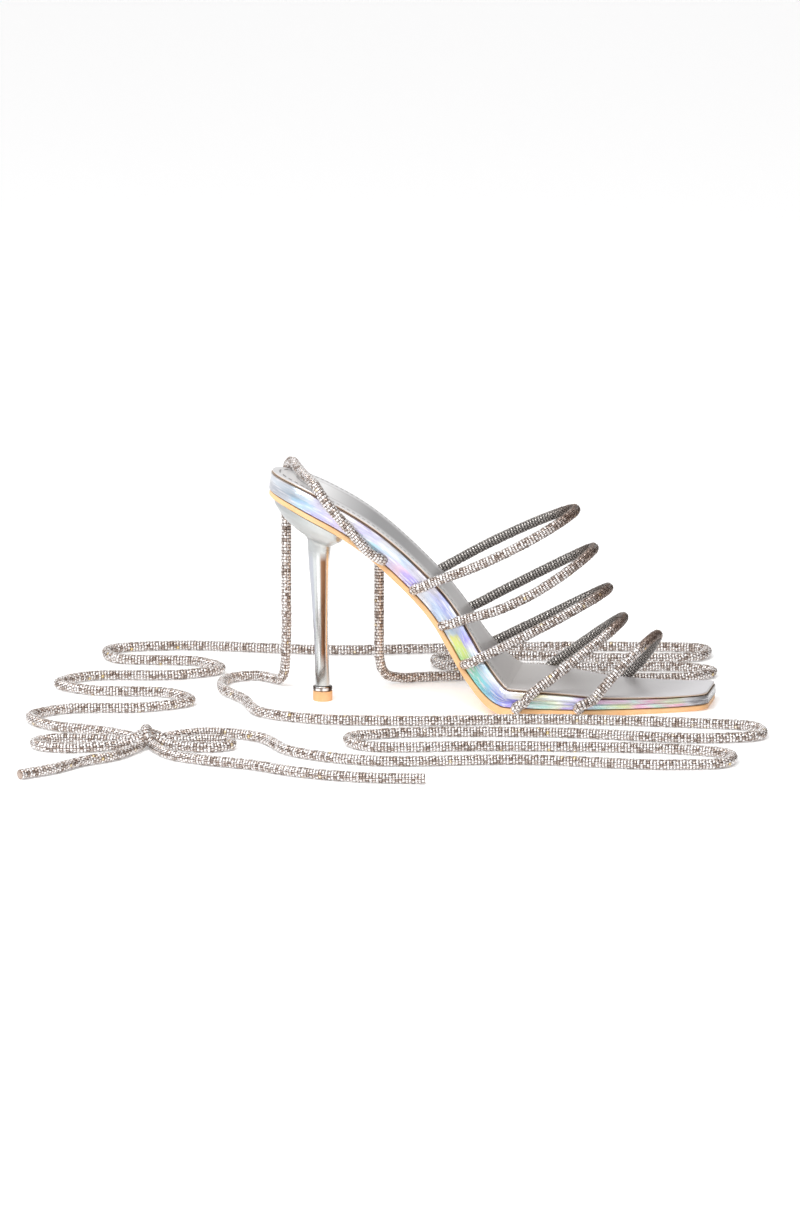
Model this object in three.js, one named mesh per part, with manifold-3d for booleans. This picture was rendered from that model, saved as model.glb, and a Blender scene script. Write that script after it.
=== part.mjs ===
// A right-foot lace-up sandal on a stiletto heel.
// Lengths are in millimetres: X runs from heel to toe, Y to the wearer's left, Z up.
// The origin is the middle of the heel tip's underside, on the floor.
import * as THREE from 'three';
import { mergeVertices } from 'three/addons/utils/BufferGeometryUtils.js';
import Module from 'manifold-3d';

const wasm = await Module();
wasm.setup();

// Driving sizes of the last
const REACH = 218.5;
const HEEL_RISE = 103.4;
const HEEL_AXIS = 26.5;
const BALL_WIDTH = 65;
const BALL_SLANT = 7.5;
const SEAT_ROUND = 23;
const BACK_RAKE = 0.25;
const TOE_CORNER = 5;
const TOE_SPRING = 0.6;
const TOE_SPRING_START = 0.9;
const SOLE_ROWS = 34;

// Thicknesses, and the gap between pieces that touch
const OUTSOLE = 2.5;
const BAND = 9.5;
const SOCK = 1;
const BAND_BULGE = 0.5;
const OUTSOLE_INSET = 0.5;
const SOCK_INSET = 0.5;
const OUTSOLE_EDGE = 0.6;
const BAND_EDGE = 1.2;
const SOCK_EDGE = 0.4;
const CLEARANCE = 0.3;
const SLIVER = 0.01;

// Rope straps and ties
const ROPE = 5;
const ROPE_SIDES = 8;
const TUCK_DEPTH = 5;
const POCKET_FLOOR = 0.9;
const INSTEP_REACH = 74.5;
const TIE_TUCK = 0.249;
const TIE_STEP = 30;
const ARCH_POINTS = 20;
const KNOT_WIDTH = 18;
const KNOT_HEIGHT = 11;
const KNOT_SIDES = 18;
const KNOT_TURN_STEPS = 16;

// Heel
const STEM_WIDTH = 7.2;
const CUP_INSET = 1.4;
const CUP_DEPTH = 12.3;
const STEM_START = 1.12;
const HEEL_SIDES = 24;
const RING_WIDTH = 9.6;
const RING_HEIGHT = 2.2;
const RING_RIM = 0.5;
const TIP_WIDTH = 9.6;
const TIP_HEIGHT = 4.8;
const TIP_RIM = 0.3;
const DISC_SIDES = 28;

// Underside of the outsole along the foot: shares of the reach and of the heel's rise
const PROFILE = [
  { along: 0.0, rise: 1.0 },
  { along: 0.05, rise: 0.9555 },
  { along: 0.105, rise: 0.8975 },
  { along: 0.16, rise: 0.834 },
  { along: 0.213, rise: 0.756 },
  { along: 0.281, rise: 0.629 },
  { along: 0.349, rise: 0.482 },
  { along: 0.382, rise: 0.392 },
  { along: 0.409, rise: 0.3 },
  { along: 0.437, rise: 0.208 },
  { along: 0.465, rise: 0.131 },
  { along: 0.492, rise: 0.07 },
  { along: 0.519, rise: 0.027 },
  { along: 0.547, rise: 0.004 },
  { along: 0.57, rise: 0.0 },
  { along: 1.0, rise: 0.0 },
];

// Half widths to the outer and inner side as shares of the ball width, the slant of a line
// across the foot as a share of the ball slant, and thicknesses as shares of their own sizes
const OUTLINE = [
  { along: 0.0, outer: 0.38, inner: 0.37, slant: 0.0, outsole: 1.0, band: 0.94 },
  { along: 0.105, outer: 0.388, inner: 0.37, slant: 0.0, outsole: 1.0, band: 0.98 },
  { along: 0.16, outer: 0.397, inner: 0.366, slant: 0.0, outsole: 1.0, band: 1.0 },
  { along: 0.213, outer: 0.385, inner: 0.344, slant: 0.0, outsole: 1.0, band: 1.03 },
  { along: 0.281, outer: 0.363, inner: 0.31, slant: 0.05, outsole: 1.0, band: 1.06 },
  { along: 0.349, outer: 0.372, inner: 0.298, slant: 0.1, outsole: 1.0, band: 1.06 },
  { along: 0.409, outer: 0.431, inner: 0.315, slant: 0.25, outsole: 1.05, band: 1.06 },
  { along: 0.465, outer: 0.503, inner: 0.36, slant: 0.55, outsole: 1.15, band: 1.04 },
  { along: 0.533, outer: 0.563, inner: 0.4, slant: 0.9, outsole: 1.5, band: 0.92 },
  { along: 0.584, outer: 0.582, inner: 0.405, slant: 1.0, outsole: 1.6, band: 0.86 },
  { along: 0.634, outer: 0.6, inner: 0.36, slant: 1.05, outsole: 1.5, band: 0.83 },
  { along: 0.694, outer: 0.59, inner: 0.305, slant: 1.1, outsole: 1.36, band: 0.74 },
  { along: 0.762, outer: 0.546, inner: 0.264, slant: 1.15, outsole: 1.2, band: 0.56 },
  { along: 0.83, outer: 0.488, inner: 0.238, slant: 1.2, outsole: 1.06, band: 0.51 },
  { along: 0.9, outer: 0.423, inner: 0.216, slant: 1.25, outsole: 1.0, band: 0.48 },
  { along: 1.0, outer: 0.315, inner: 0.2, slant: 1.3, outsole: 0.96, band: 0.46 },
];

// Straps from the ankle to the toe: where the legs cross the rim on the outer and inner
// side and go into the sole, as shares of the foot, the lean of the arch above the floor,
// its length as a share of the instep's, how square its top is, how much wider than its
// feet it is, and how far each leg hangs below a straight line, as shares of the rope's width
const STRAPS = [
  { outer: 0.327, inner: 0.337, tuck: 0.318, lean: 25.9, reach: 1.016, square: 2.7, spread: 1.22,
    outerHang: 0.5, innerHang: -0.3 },
  { outer: 0.387, inner: 0.396, tuck: 0.382, lean: 27.6, reach: 0.948, square: 2.9, spread: 1.12,
    outerHang: 1.0, innerHang: 0.0 },
  { outer: 0.439, inner: 0.452, tuck: 0.4347, lean: 27.6, reach: 0.888, square: 2.4, spread: 0.98,
    outerHang: 0.1, innerHang: 0.1 },
  { outer: 0.615, inner: 0.615, tuck: 0.58, lean: 37.5, reach: 0.678, square: 2.3, spread: 0.9,
    outerHang: 0.0, innerHang: 0.0 },
  { outer: 0.753, inner: 0.787, tuck: 0.721, lean: 50.0, reach: 0.466, square: 2.3, spread: 0.9,
    outerHang: -0.1, innerHang: 0.3 },
];

// A rope's way out of its pocket as shares of its width: how far past the rim, and how far up
// from the pocket's level. It ends beside the band, at a share of the band's height.
const TURN = [
  { past: -0.24, up: 0.0 },
  { past: 0.18, up: 0.08 },
];
const TURN_BESIDE = { short: 0.14, up: 0.36 };
const LEG_START = { up: 0.72, height: 0.62 };

// Routes of the ties after their pockets, and of the bow, as X, Y and Z. The outer tie goes up
// over the rim, across the seat and down to the floor, the inner one hangs from its pocket.
const TIE_OUTER = [
  [24, -27.8, 79], [14, -29.6, 91], [6, -29.8, 100.5], [1.2, -28.4, 106.6], [-2.2, -24, 110.8],
  [-5, -17, 112.4], [-8.5, -7, 113.4], [-12, 4, 114.8], [-15, 13.5, 116.4], [-17.2, 20.2, 114.5],
  [-18.4, 23.3, 109], [-18.8, 24, 98], [-19, 24.4, 60], [-19.3, 25.4, 22], [-20.5, 28.5, 8],
  [-24, 37, 2.6], [-36, 46, 2.6], [-49, 38, 2.6], [-50, 14, 2.6], [-38, -12, 2.6],
  [-28, -42, 2.6], [-2, -57, 2.6], [50, -60, 2.6], [110, -54, 2.6], [186, -61, 2.6],
  [211, -68, 2.6], [213, -87, 2.6], [186, -95, 2.6], [110, -84, 2.6], [36, -89, 2.6],
  [17, -100, 2.6], [25, -118, 2.6], [90, -116, 2.6], [176, -121, 2.6], [198, -131, 2.6],
  [196, -149, 2.6], [168, -155, 2.6], [100, -146, 2.6], [30, -151, 2.6], [-8, -132, 2.6],
  [-26, -100, 2.6], [-50, -90, 2.6], [-66.4, -98.2, 2.6], [-72.1, -105, 2.6],
];
const TIE_INNER = [
  [26.4, 29, 73.2], [26.5, 32, 67.5], [26.5, 33, 56], [26.5, 33.2, 30], [26.8, 34.3, 13],
  [29.5, 37, 5.8], [37, 41.5, 2.95], [52, 46.5, 2.6], [90, 52, 2.6], [150, 47, 2.6], [182, 51, 2.6],
  [192, 64, 2.6], [176, 75, 2.6], [100, 71, 2.6], [57, 76, 2.6], [54, 94, 2.6],
  [90, 101, 2.6], [150, 96, 2.6], [186, 103, 2.6], [188, 121, 2.6], [150, 126, 2.6],
  [80, 122, 2.6], [0, 112, 2.6], [-80, 121, 2.6], [-113, 109, 2.6], [-108, 87, 2.6],
  [-66, 80, 2.6], [-54, 62, 2.6], [-74, 47, 2.6], [-118, 42, 2.6], [-132, 24, 2.6],
  [-116, 8, 2.6], [-76, 2, 2.6], [-64, -16, 2.6], [-84, -32, 2.6], [-124, -38, 2.6],
  [-139, -56, 2.6], [-128, -76, 2.6], [-104, -88, 2.6], [-89.6, -98.2, 2.6],
  [-83.9, -105, 2.6],
];
const KNOT = [-78, -112, 0];
const BOW = {
  bow_loop_1: [
    [-87.1, -110.4, 2.6], [-95.7, -108.9, 2.6], [-109.5, -106.4, 2.6], [-123.7, -107.2, 2.6],
    [-131.9, -115.8, 2.6], [-126.3, -124.9, 2.6], [-110.6, -127.2, 2.6], [-93.6, -121, 2.6],
    [-86, -116.6, 2.6],
  ],
  bow_loop_2: [
    [-68.9, -110.4, 2.6], [-60.3, -108.9, 2.6], [-49.6, -106, 2.6], [-40.1, -109.3, 2.6],
    [-38.6, -118.9, 2.6], [-48.5, -124.5, 2.6], [-62.4, -121, 2.6], [-70, -116.6, 2.6],
  ],
  bow_tail_1: [
    [-81.1, -120.6, 2.6], [-84.2, -128.9, 2.6], [-92.6, -144.9, 2.6], [-106.6, -157.8, 2.6],
    [-118.3, -174.1, 2.6], [-132.7, -187.2, 2.6],
  ],
  bow_tail_2: [
    [-74.9, -120.6, 2.6], [-71.8, -128.9, 2.6], [-65, -141.2, 2.6], [-48.6, -152.5, 2.6],
    [-26.2, -162, 2.6], [-2.5, -177.6, 2.6], [25.6, -187.2, 2.6], [56.2, -189.5, 2.6],
  ],
};

// Heel from the seat down: drop below the seat as a share of the cup's depth, reach back,
// forward and to each side of the heel's axis as shares of the seat's half width, tilt as a
// share of the seat's slope, and how square the front and the back are
const CUP = [
  { drop: -0.7, back: 1.1, front: 0.58, side: 1.0, tilt: 1.0, breast: 5.0, rear: 2.2 },
  { drop: 0.28, back: 1.1, front: 0.48, side: 0.99, tilt: 1.0, breast: 5.0, rear: 2.2 },
  { drop: 0.45, back: 1.03, front: 0.4, side: 0.92, tilt: 1.0, breast: 4.5, rear: 2.2 },
  { drop: 0.69, back: 0.9, front: 0.29, side: 0.75, tilt: 1.0, breast: 4.0, rear: 2.2 },
  { drop: 0.82, back: 0.745, front: 0.23, side: 0.6, tilt: 1.0, breast: 3.5, rear: 2.2 },
  { drop: 0.9, back: 0.59, front: 0.195, side: 0.47, tilt: 0.97, breast: 3.0, rear: 2.2 },
  { drop: 0.93, back: 0.45, front: 0.18, side: 0.36, tilt: 0.92, breast: 2.8, rear: 2.2 },
  { drop: 0.96, back: 0.345, front: 0.178, side: 0.29, tilt: 0.75, breast: 2.6, rear: 2.2 },
  { drop: 1.02, back: 0.3, front: 0.18, side: 0.25, tilt: 0.35, breast: 2.6, rear: 2.2 },
];

// Stem from the cup down to the ring: height as a share of the stem's, reach back, forward
// and to each side as shares of its width at the ring
const STEM = [
  { up: 1.0, back: 0.98, front: 0.58, side: 0.78 },
  { up: 0.88, back: 0.93, front: 0.51, side: 0.72 },
  { up: 0.7, back: 0.79, front: 0.47, side: 0.65 },
  { up: 0.52, back: 0.69, front: 0.43, side: 0.59 },
  { up: 0.34, back: 0.59, front: 0.41, side: 0.54 },
  { up: 0.16, back: 0.53, front: 0.44, side: 0.51 },
  { up: 0.0, back: 0.5, front: 0.49, side: 0.5 },
];

// Colours and finishes
const FINISHES = {
  outsole: { color: 0xf2c594, roughness: 0.45, metalness: 0 },
  film: { color: 0xc9cbe6, roughness: 0.2, metalness: 0.7 },
  sock: { color: 0xbdbabb, roughness: 0.35, metalness: 0.6 },
  chrome: { color: 0xd8d8da, roughness: 0.12, metalness: 1 },
  tip: { color: 0xf0bf8a, roughness: 0.5, metalness: 0 },
  rope: { color: 0x9a8f88, roughness: 0.3, metalness: 0.8 },
};

// A smooth curve through one column of a table that never swings past its rows
function throughRows(rows, column) {
  const last = rows.length - 1;
  const chord = (i) => (rows[i + 1][column] - rows[i][column]) / (rows[i + 1].along - rows[i].along);
  const slopes = rows.map((_, i) => {
    if (i === 0) return chord(0);
    if (i === last) return chord(last - 1);
    const before = chord(i - 1);
    const after = chord(i);
    return before * after <= 0 ? 0 : (2 * before * after) / (before + after);
  });
  return (along) => {
    const at = THREE.MathUtils.clamp(along, rows[0].along, rows[last].along);
    const i = Math.min(rows.filter((row) => row.along <= at).length - 1, last - 1);
    const span = rows[i + 1].along - rows[i].along;
    const t = (at - rows[i].along) / span;
    const start = rows[i][column] * (1 + 2 * t) + slopes[i] * span * t;
    const end = rows[i + 1][column] * (3 - 2 * t) - slopes[i + 1] * span * (1 - t);
    return start * (1 - t) ** 2 + end * t ** 2;
  };
}

const riseShare = throughRows(PROFILE, 'rise');
const outerShare = throughRows(OUTLINE, 'outer');
const innerShare = throughRows(OUTLINE, 'inner');
const slantShare = throughRows(OUTLINE, 'slant');
const outsoleShare = throughRows(OUTLINE, 'outsole');
const bandShare = throughRows(OUTLINE, 'band');

// The underside's height, with the toe's small lift
function floorHeight(along) {
  const lift = Math.max(0, (along - TOE_SPRING_START) / (1 - TOE_SPRING_START));
  return HEEL_RISE * riseShare(along) + TOE_SPRING * lift ** 2;
}

// The direction straight up from the underside, in the plane of X and Z
function upright(along) {
  const step = 0.004;
  const before = Math.max(0, along - step);
  const after = Math.min(1, along + step);
  const climb = (floorHeight(after) - floorHeight(before)) / ((after - before) * REACH);
  return new THREE.Vector3(-climb, 0, 1).normalize();
}

// A point of the last: its share of the foot, its distance from the middle line and its
// height above the underside
function onLast(along, across, up) {
  const slant = (BALL_SLANT / BALL_WIDTH) * slantShare(along) * across;
  const nearBack = Math.max(0, 1 - (along * REACH) / SEAT_ROUND);
  const x = along * REACH - HEEL_AXIS + slant - BACK_RAKE * up * nearBack ** 2;
  return new THREE.Vector3(x, across, floorHeight(along)).addScaledVector(upright(along), up);
}

// How much the round heel and the toe's corners take off a half width
function seatRounding(along) {
  const inward = Math.min(1, (along * REACH) / SEAT_ROUND);
  return Math.sqrt(1 - (1 - inward) ** 2);
}

function cornerRounding(along) {
  const inward = Math.min(1, ((1 - along) * REACH) / TOE_CORNER);
  return TOE_CORNER * (1 - Math.sqrt(1 - (1 - inward) ** 2));
}

function outerEdge(along, inset = 0) {
  return (BALL_WIDTH * outerShare(along) - cornerRounding(along) - inset) * seatRounding(along);
}

function innerEdge(along, inset = 0) {
  return (BALL_WIDTH * innerShare(along) - cornerRounding(along) - inset) * seatRounding(along);
}

const outsoleTop = (along) => OUTSOLE * outsoleShare(along);
const bandBottom = (along) => outsoleTop(along) + CLEARANCE;
const bandTop = (along) => bandBottom(along) + BAND * bandShare(along);

// Rows across the foot: close together round the heel and the toe's corners, and evenly
// along the slope between them
function rowsAlong(middleRows) {
  const heelTurns = [0.1, 0.22, 0.36, 0.52, 0.7, 0.9, 1.15, 1.4];
  const toeTurns = [1.3, 0.95, 0.6, 0.25];
  const heel = heelTurns.map((turn) => ((1 - Math.cos(turn)) * SEAT_ROUND) / REACH);
  const toe = toeTurns.map((turn) => 1 - ((1 - Math.cos(turn)) * TOE_CORNER) / REACH);
  const start = SEAT_ROUND / REACH;
  const end = 1 - TOE_CORNER / REACH;
  const fine = 400;
  const path = [0];
  for (let i = 1; i <= fine; i += 1) {
    const at = start + ((end - start) * i) / fine;
    const back = start + ((end - start) * (i - 1)) / fine;
    const rise = floorHeight(at) - floorHeight(back);
    path.push(path[i - 1] + Math.hypot(((end - start) * REACH) / fine, rise));
  }
  const middle = [];
  for (let row = 0; row <= middleRows; row += 1) {
    const goal = (path[fine] * row) / middleRows;
    const i = Math.min(path.filter((length) => length < goal).length, fine);
    middle.push(start + ((end - start) * i) / fine);
  }
  return [...heel, ...middle, ...toe, 1];
}

// A closed body through loops that all have the same number of points
function loft(loops) {
  const around = loops[0].length;
  const positions = [];
  const index = [];
  const add = (point) => positions.push(point.x, point.y, point.z) / 3 - 1;
  loops.forEach((loop) => loop.forEach(add));
  for (let row = 0; row + 1 < loops.length; row += 1) {
    for (let i = 0; i < around; i += 1) {
      const next = (i + 1) % around;
      const a = row * around + i;
      const b = row * around + next;
      index.push(a, b, b + around, a, b + around, a + around);
    }
  }
  [0, loops.length - 1].forEach((row) => {
    const middle = new THREE.Vector3();
    loops[row].forEach((point) => middle.addScaledVector(point, 1 / around));
    const hub = add(middle);
    for (let i = 0; i < around; i += 1) {
      const a = row * around + i;
      const b = row * around + ((i + 1) % around);
      if (row === 0) index.push(hub, b, a);
      else index.push(hub, a, b);
    }
  });
  const geometry = new THREE.BufferGeometry();
  geometry.setAttribute('position', new THREE.Float32BufferAttribute(positions, 3));
  geometry.setIndex(signedVolume(positions, index) < 0 ? index.reverse() : index);
  return geometry;
}

function signedVolume(positions, index) {
  const corner = (i) => new THREE.Vector3().fromArray(positions, index[i] * 3);
  let volume = 0;
  for (let i = 0; i < index.length; i += 3) {
    volume += corner(i).dot(corner(i + 1).cross(corner(i + 2))) / 6;
  }
  return volume;
}

function toSolid(geometry) {
  const bare = geometry.clone();
  bare.deleteAttribute('normal');
  bare.deleteAttribute('uv');
  const merged = mergeVertices(bare, 1e-4);
  return new wasm.Manifold(new wasm.Mesh({
    numProp: 3,
    vertProperties: new Float32Array(merged.attributes.position.array),
    triVerts: new Uint32Array(merged.index.array),
  }));
}

// Cuts leave slivers, which are merged away before the mesh is taken
function toGeometry(solid) {
  const mesh = solid.simplify(SLIVER).getMesh();
  const geometry = new THREE.BufferGeometry();
  geometry.setAttribute('position', new THREE.BufferAttribute(mesh.vertProperties, 3));
  geometry.setIndex(new THREE.BufferAttribute(mesh.triVerts, 1));
  return geometry;
}

// A layer of the sole between two heights above the underside
function layer({ bottom, top, inset, bulge, edge }) {
  const loops = rowsAlong(SOLE_ROWS).map((share) => {
    const along = THREE.MathUtils.lerp(inset / REACH, 1 - inset / REACH, share);
    const low = bottom(along);
    const high = top(along);
    const outer = outerEdge(share, inset);
    const inner = innerEdge(share, inset);
    const middle = (low + high) / 2;
    const trim = Math.min(edge, outer, inner);
    return [
      onLast(along, -outer + trim, low),
      onLast(along, -outer, low + trim),
      onLast(along, -outer - bulge, middle),
      onLast(along, -outer, high - trim),
      onLast(along, -outer + trim, high),
      onLast(along, inner - trim, high),
      onLast(along, inner, high - trim),
      onLast(along, inner + bulge, middle),
      onLast(along, inner, low + trim),
      onLast(along, inner - trim, low),
    ];
  });
  return loft(loops);
}

const groundLevel = () => 0;
const sockBottom = (along) => bandTop(along) + CLEARANCE;
const sockTop = (along) => sockBottom(along) + SOCK;

const outsoleBlank = layer({
  bottom: groundLevel, top: outsoleTop, inset: OUTSOLE_INSET, bulge: 0, edge: OUTSOLE_EDGE,
});
const footbedBlank = layer({
  bottom: bandBottom, top: bandTop, inset: 0, bulge: BAND_BULGE, edge: BAND_EDGE,
});
const sock = layer({
  bottom: sockBottom, top: sockTop, inset: SOCK_INSET, bulge: 0, edge: SOCK_EDGE,
});

// A curve whose even steps fall on its own points, so that close points give close rings
class RouteCurve extends THREE.CatmullRomCurve3 {
  constructor(points) {
    super(points, false, 'centripetal');
  }

  getPointAt(share, target) {
    return this.getPoint(share, target);
  }

  getTangentAt(share, target) {
    return this.getTangent(share, target);
  }
}

// A rope of round section along a curve
function rope(curve, width, steps) {
  const section = new THREE.Shape();
  for (let i = 0; i < ROPE_SIDES; i += 1) {
    const turn = (2 * Math.PI * i) / ROPE_SIDES;
    const x = (width / 2) * Math.cos(turn);
    const y = (width / 2) * Math.sin(turn);
    if (i === 0) section.moveTo(x, y);
    else section.lineTo(x, y);
  }
  return new THREE.ExtrudeGeometry(section, { steps, bevelEnabled: false, extrudePath: curve });
}

// Where a rope lies against the sole's edge, and where it turns in under the band
const BESIDE = ROPE / 2 + CLEARANCE + BAND_BULGE;
const TUCK_LEVEL = ROPE / 2 + CLEARANCE + POCKET_FLOOR;
const BURIED_POINTS = 5;

// One side of a strap's foot, from its pocket up to the rim
function tuckPoints(side, tuck, rim) {
  const edge = side < 0 ? outerEdge : innerEdge;
  const halfway = (tuck + rim) / 2;
  const legStart = Math.max(bandTop(rim) * LEG_START.height, TUCK_LEVEL + LEG_START.up * ROPE);
  const beside = edge(tuck) + BESIDE - TURN_BESIDE.short * ROPE;
  return [
    onLast(tuck, side * (edge(tuck) - TUCK_DEPTH), TUCK_LEVEL),
    ...TURN.map(({ past, up }) => (
      onLast(tuck, side * (edge(tuck) + past * ROPE), TUCK_LEVEL + up * ROPE)
    )),
    onLast(tuck, side * beside, TUCK_LEVEL + TURN_BESIDE.up * ROPE),
    onLast(halfway, side * (edge(halfway) + BESIDE), legStart),
  ];
}

// A strap: up from its outer pocket, over the foot in a squared arch, and down again
function strapCurve({
  outer, inner, tuck, lean, reach, square, spread, outerHang, innerHang,
}) {
  const nearRim = onLast(outer, -(outerEdge(outer) + BESIDE), bandTop(outer));
  const farRim = onLast(inner, innerEdge(inner) + BESIDE, bandTop(inner));
  const middle = nearRim.clone().add(farRim).multiplyScalar(0.5);
  const halfSpan = farRim.clone().sub(nearRim).multiplyScalar(0.5);
  const angle = THREE.MathUtils.degToRad(lean);
  const upward = new THREE.Vector3(Math.cos(angle), 0, Math.sin(angle));
  upward.multiplyScalar(INSTEP_REACH * reach);
  const arch = [];
  for (let i = 0; i <= ARCH_POINTS; i += 1) {
    const turn = (Math.PI * i) / ARCH_POINTS;
    const sideways = -Math.sign(Math.cos(turn)) * Math.abs(Math.cos(turn)) ** (2 / square);
    const height = Math.sin(turn) ** (2 / square);
    const widening = 1 + (spread - 1) * height;
    const hang = ROPE * (sideways < 0 ? outerHang : innerHang);
    const point = middle.clone().addScaledVector(halfSpan, sideways * widening);
    point.z -= 4 * hang * height * (1 - height);
    arch.push(point.addScaledVector(upward, height));
  }
  const points = [
    ...tuckPoints(-1, tuck, outer),
    ...arch,
    ...tuckPoints(1, tuck + inner - outer, inner).reverse(),
  ];
  return new RouteCurve(points);
}

// A tie or a piece of the bow through its route, with rings where the route has points and
// more of them along its longer stretches
function routeCurve(points) {
  const smooth = new RouteCurve(points);
  const rings = [points[0]];
  for (let i = 1; i < points.length; i += 1) {
    const between = Math.max(1, Math.round(points[i].distanceTo(points[i - 1]) / TIE_STEP));
    for (let step = 1; step <= between; step += 1) {
      rings.push(smooth.getPoint((i - 1 + step / between) / (points.length - 1)));
    }
  }
  return new RouteCurve(rings);
}

const toVectors = (rows) => rows.map((row) => new THREE.Vector3(...row));
const ringSteps = (curve) => curve.points.length - 1;
const ropeAlong = (curve) => rope(curve, ROPE, ringSteps(curve));

const strapCurves = STRAPS.map(strapCurve);
const straps = strapCurves.map(ropeAlong);

const tieOuter = routeCurve([
  ...tuckPoints(-1, TIE_TUCK, TIE_TUCK).slice(0, 3), ...toVectors(TIE_OUTER),
]);
const tieInner = routeCurve([
  ...tuckPoints(1, TIE_TUCK, TIE_TUCK).slice(0, 3), ...toVectors(TIE_INNER),
]);

// The knot: a low round body with a flat side for each rope, and the turn over its middle
function knotBody() {
  const half = KNOT_WIDTH / 2;
  const rim = 0.16 * ROPE;
  const profile = [
    new THREE.Vector2(0, 0),
    new THREE.Vector2(half - rim, 0),
    new THREE.Vector2(half, rim),
    new THREE.Vector2(half, ROPE),
    new THREE.Vector2(half - 2 * rim, 1.4 * ROPE),
    new THREE.Vector2(half - 5 * rim, 1.72 * ROPE),
    new THREE.Vector2(0, 1.8 * ROPE),
  ];
  const body = new THREE.LatheGeometry(profile, KNOT_SIDES).rotateX(Math.PI / 2);
  const turn = new THREE.TorusGeometry(
    half - ROPE / 2 - CLEARANCE, ROPE / 2, ROPE_SIDES, KNOT_TURN_STEPS,
  ).rotateY(Math.PI / 2);
  turn.scale(1, 1, KNOT_HEIGHT / KNOT_WIDTH).translate(0, 0, KNOT_HEIGHT / 2);
  const whole = toSolid(body).add(toSolid(turn));
  return toGeometry(whole).translate(...KNOT);
}

// A pocket follows a rope's buried end with the clearance round it and past its tip
function pocket(points) {
  const width = ROPE + 3 * CLEARANCE;
  const curve = new RouteCurve(points.slice(0, BURIED_POINTS));
  const tip = curve.getPointAt(0);
  const inward = curve.getTangentAt(0).multiplyScalar(-CLEARANCE);
  const plug = new THREE.LineCurve3(tip.clone().sub(inward), tip.clone().add(inward));
  return toSolid(rope(curve, width, ringSteps(curve))).add(toSolid(rope(plug, width, 1)));
}

const pockets = [
  ...strapCurves.flatMap(({ points }) => [pocket(points), pocket([...points].reverse())]),
  pocket(tieOuter.points),
  pocket(tieInner.points),
];

function withPockets(geometry) {
  const solid = pockets.reduce((body, hole) => body.subtract(hole), toSolid(geometry));
  return toGeometry(solid);
}

// Heel
const seatTop = floorHeight(HEEL_AXIS / REACH);
const seatUp = upright(HEEL_AXIS / REACH);
const seatTilt = Math.atan2(seatUp.x, seatUp.z);
const cupSide = outerEdge(HEEL_AXIS / REACH) - CUP_INSET;
const stemFoot = TIP_HEIGHT + RING_HEIGHT + 2 * CLEARANCE;
const stemTop = seatTop - CUP_DEPTH * STEM_START;

// One loop round the heel's axis, with its own squareness in front and behind
function heelLoop({ level, tilt, back, front, side, breast, rear }) {
  const loop = [];
  for (let i = 0; i < HEEL_SIDES; i += 1) {
    const turn = (2 * Math.PI * i) / HEEL_SIDES;
    const square = Math.cos(turn) > 0 ? breast : rear;
    const reach = Math.cos(turn) > 0 ? front : back;
    const along = Math.sign(Math.cos(turn)) * Math.abs(Math.cos(turn)) ** (2 / square) * reach;
    const across = Math.sign(Math.sin(turn)) * Math.abs(Math.sin(turn)) ** (2 / square) * side;
    const x = along * Math.cos(tilt);
    loop.push(new THREE.Vector3(x, across, level - along * Math.sin(tilt)));
  }
  return loop;
}

// All that lies above the seat's underside, a clearance lower, to trim the cup by
function aboveSeat() {
  const rows = 12;
  const seatEnd = 0.3;
  const top = HEEL_RISE / 3;
  const loops = [];
  for (let i = 0; i <= rows; i += 1) {
    const along = (seatEnd * i) / rows;
    const corner = (across, up) => onLast(along, across, up);
    loops.push([
      corner(-BALL_WIDTH, -CLEARANCE),
      corner(-BALL_WIDTH, top),
      corner(BALL_WIDTH, top),
      corner(BALL_WIDTH, -CLEARANCE),
    ]);
  }
  const backward = new THREE.Vector3(-upright(0).z, 0, upright(0).x).multiplyScalar(HEEL_AXIS);
  loops.unshift(loops[0].map((point) => point.clone().add(backward)));
  return loft(loops);
}

function heelBody() {
  const cup = CUP.map((row) => heelLoop({
    level: seatTop - row.drop * CUP_DEPTH,
    tilt: seatTilt * row.tilt,
    back: row.back * cupSide,
    front: row.front * cupSide,
    side: row.side * cupSide,
    breast: row.breast,
    rear: row.rear,
  }));
  const stem = STEM.map((row) => heelLoop({
    level: stemFoot + row.up * (stemTop - stemFoot),
    tilt: 0,
    back: row.back * STEM_WIDTH,
    front: row.front * STEM_WIDTH,
    side: row.side * STEM_WIDTH,
    breast: 2.5,
    rear: 2.2,
  }));
  return toGeometry(toSolid(loft([...cup, ...stem])).subtract(toSolid(aboveSeat())));
}

// A turned disc with small rounded rims
function turned(width, height, rim) {
  const radius = width / 2;
  const profile = [
    new THREE.Vector2(0, 0),
    new THREE.Vector2(radius - rim, 0),
    new THREE.Vector2(radius, rim),
    new THREE.Vector2(radius, height - rim),
    new THREE.Vector2(radius - rim, height),
    new THREE.Vector2(0, height),
  ];
  return new THREE.LatheGeometry(profile, DISC_SIDES).rotateX(Math.PI / 2);
}

const sandal = new THREE.Group();

function addPiece(name, geometry, finish, height = 0) {
  const piece = new THREE.Mesh(geometry, new THREE.MeshStandardMaterial(FINISHES[finish]));
  piece.name = name;
  piece.position.z = height;
  sandal.add(piece);
}

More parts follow.
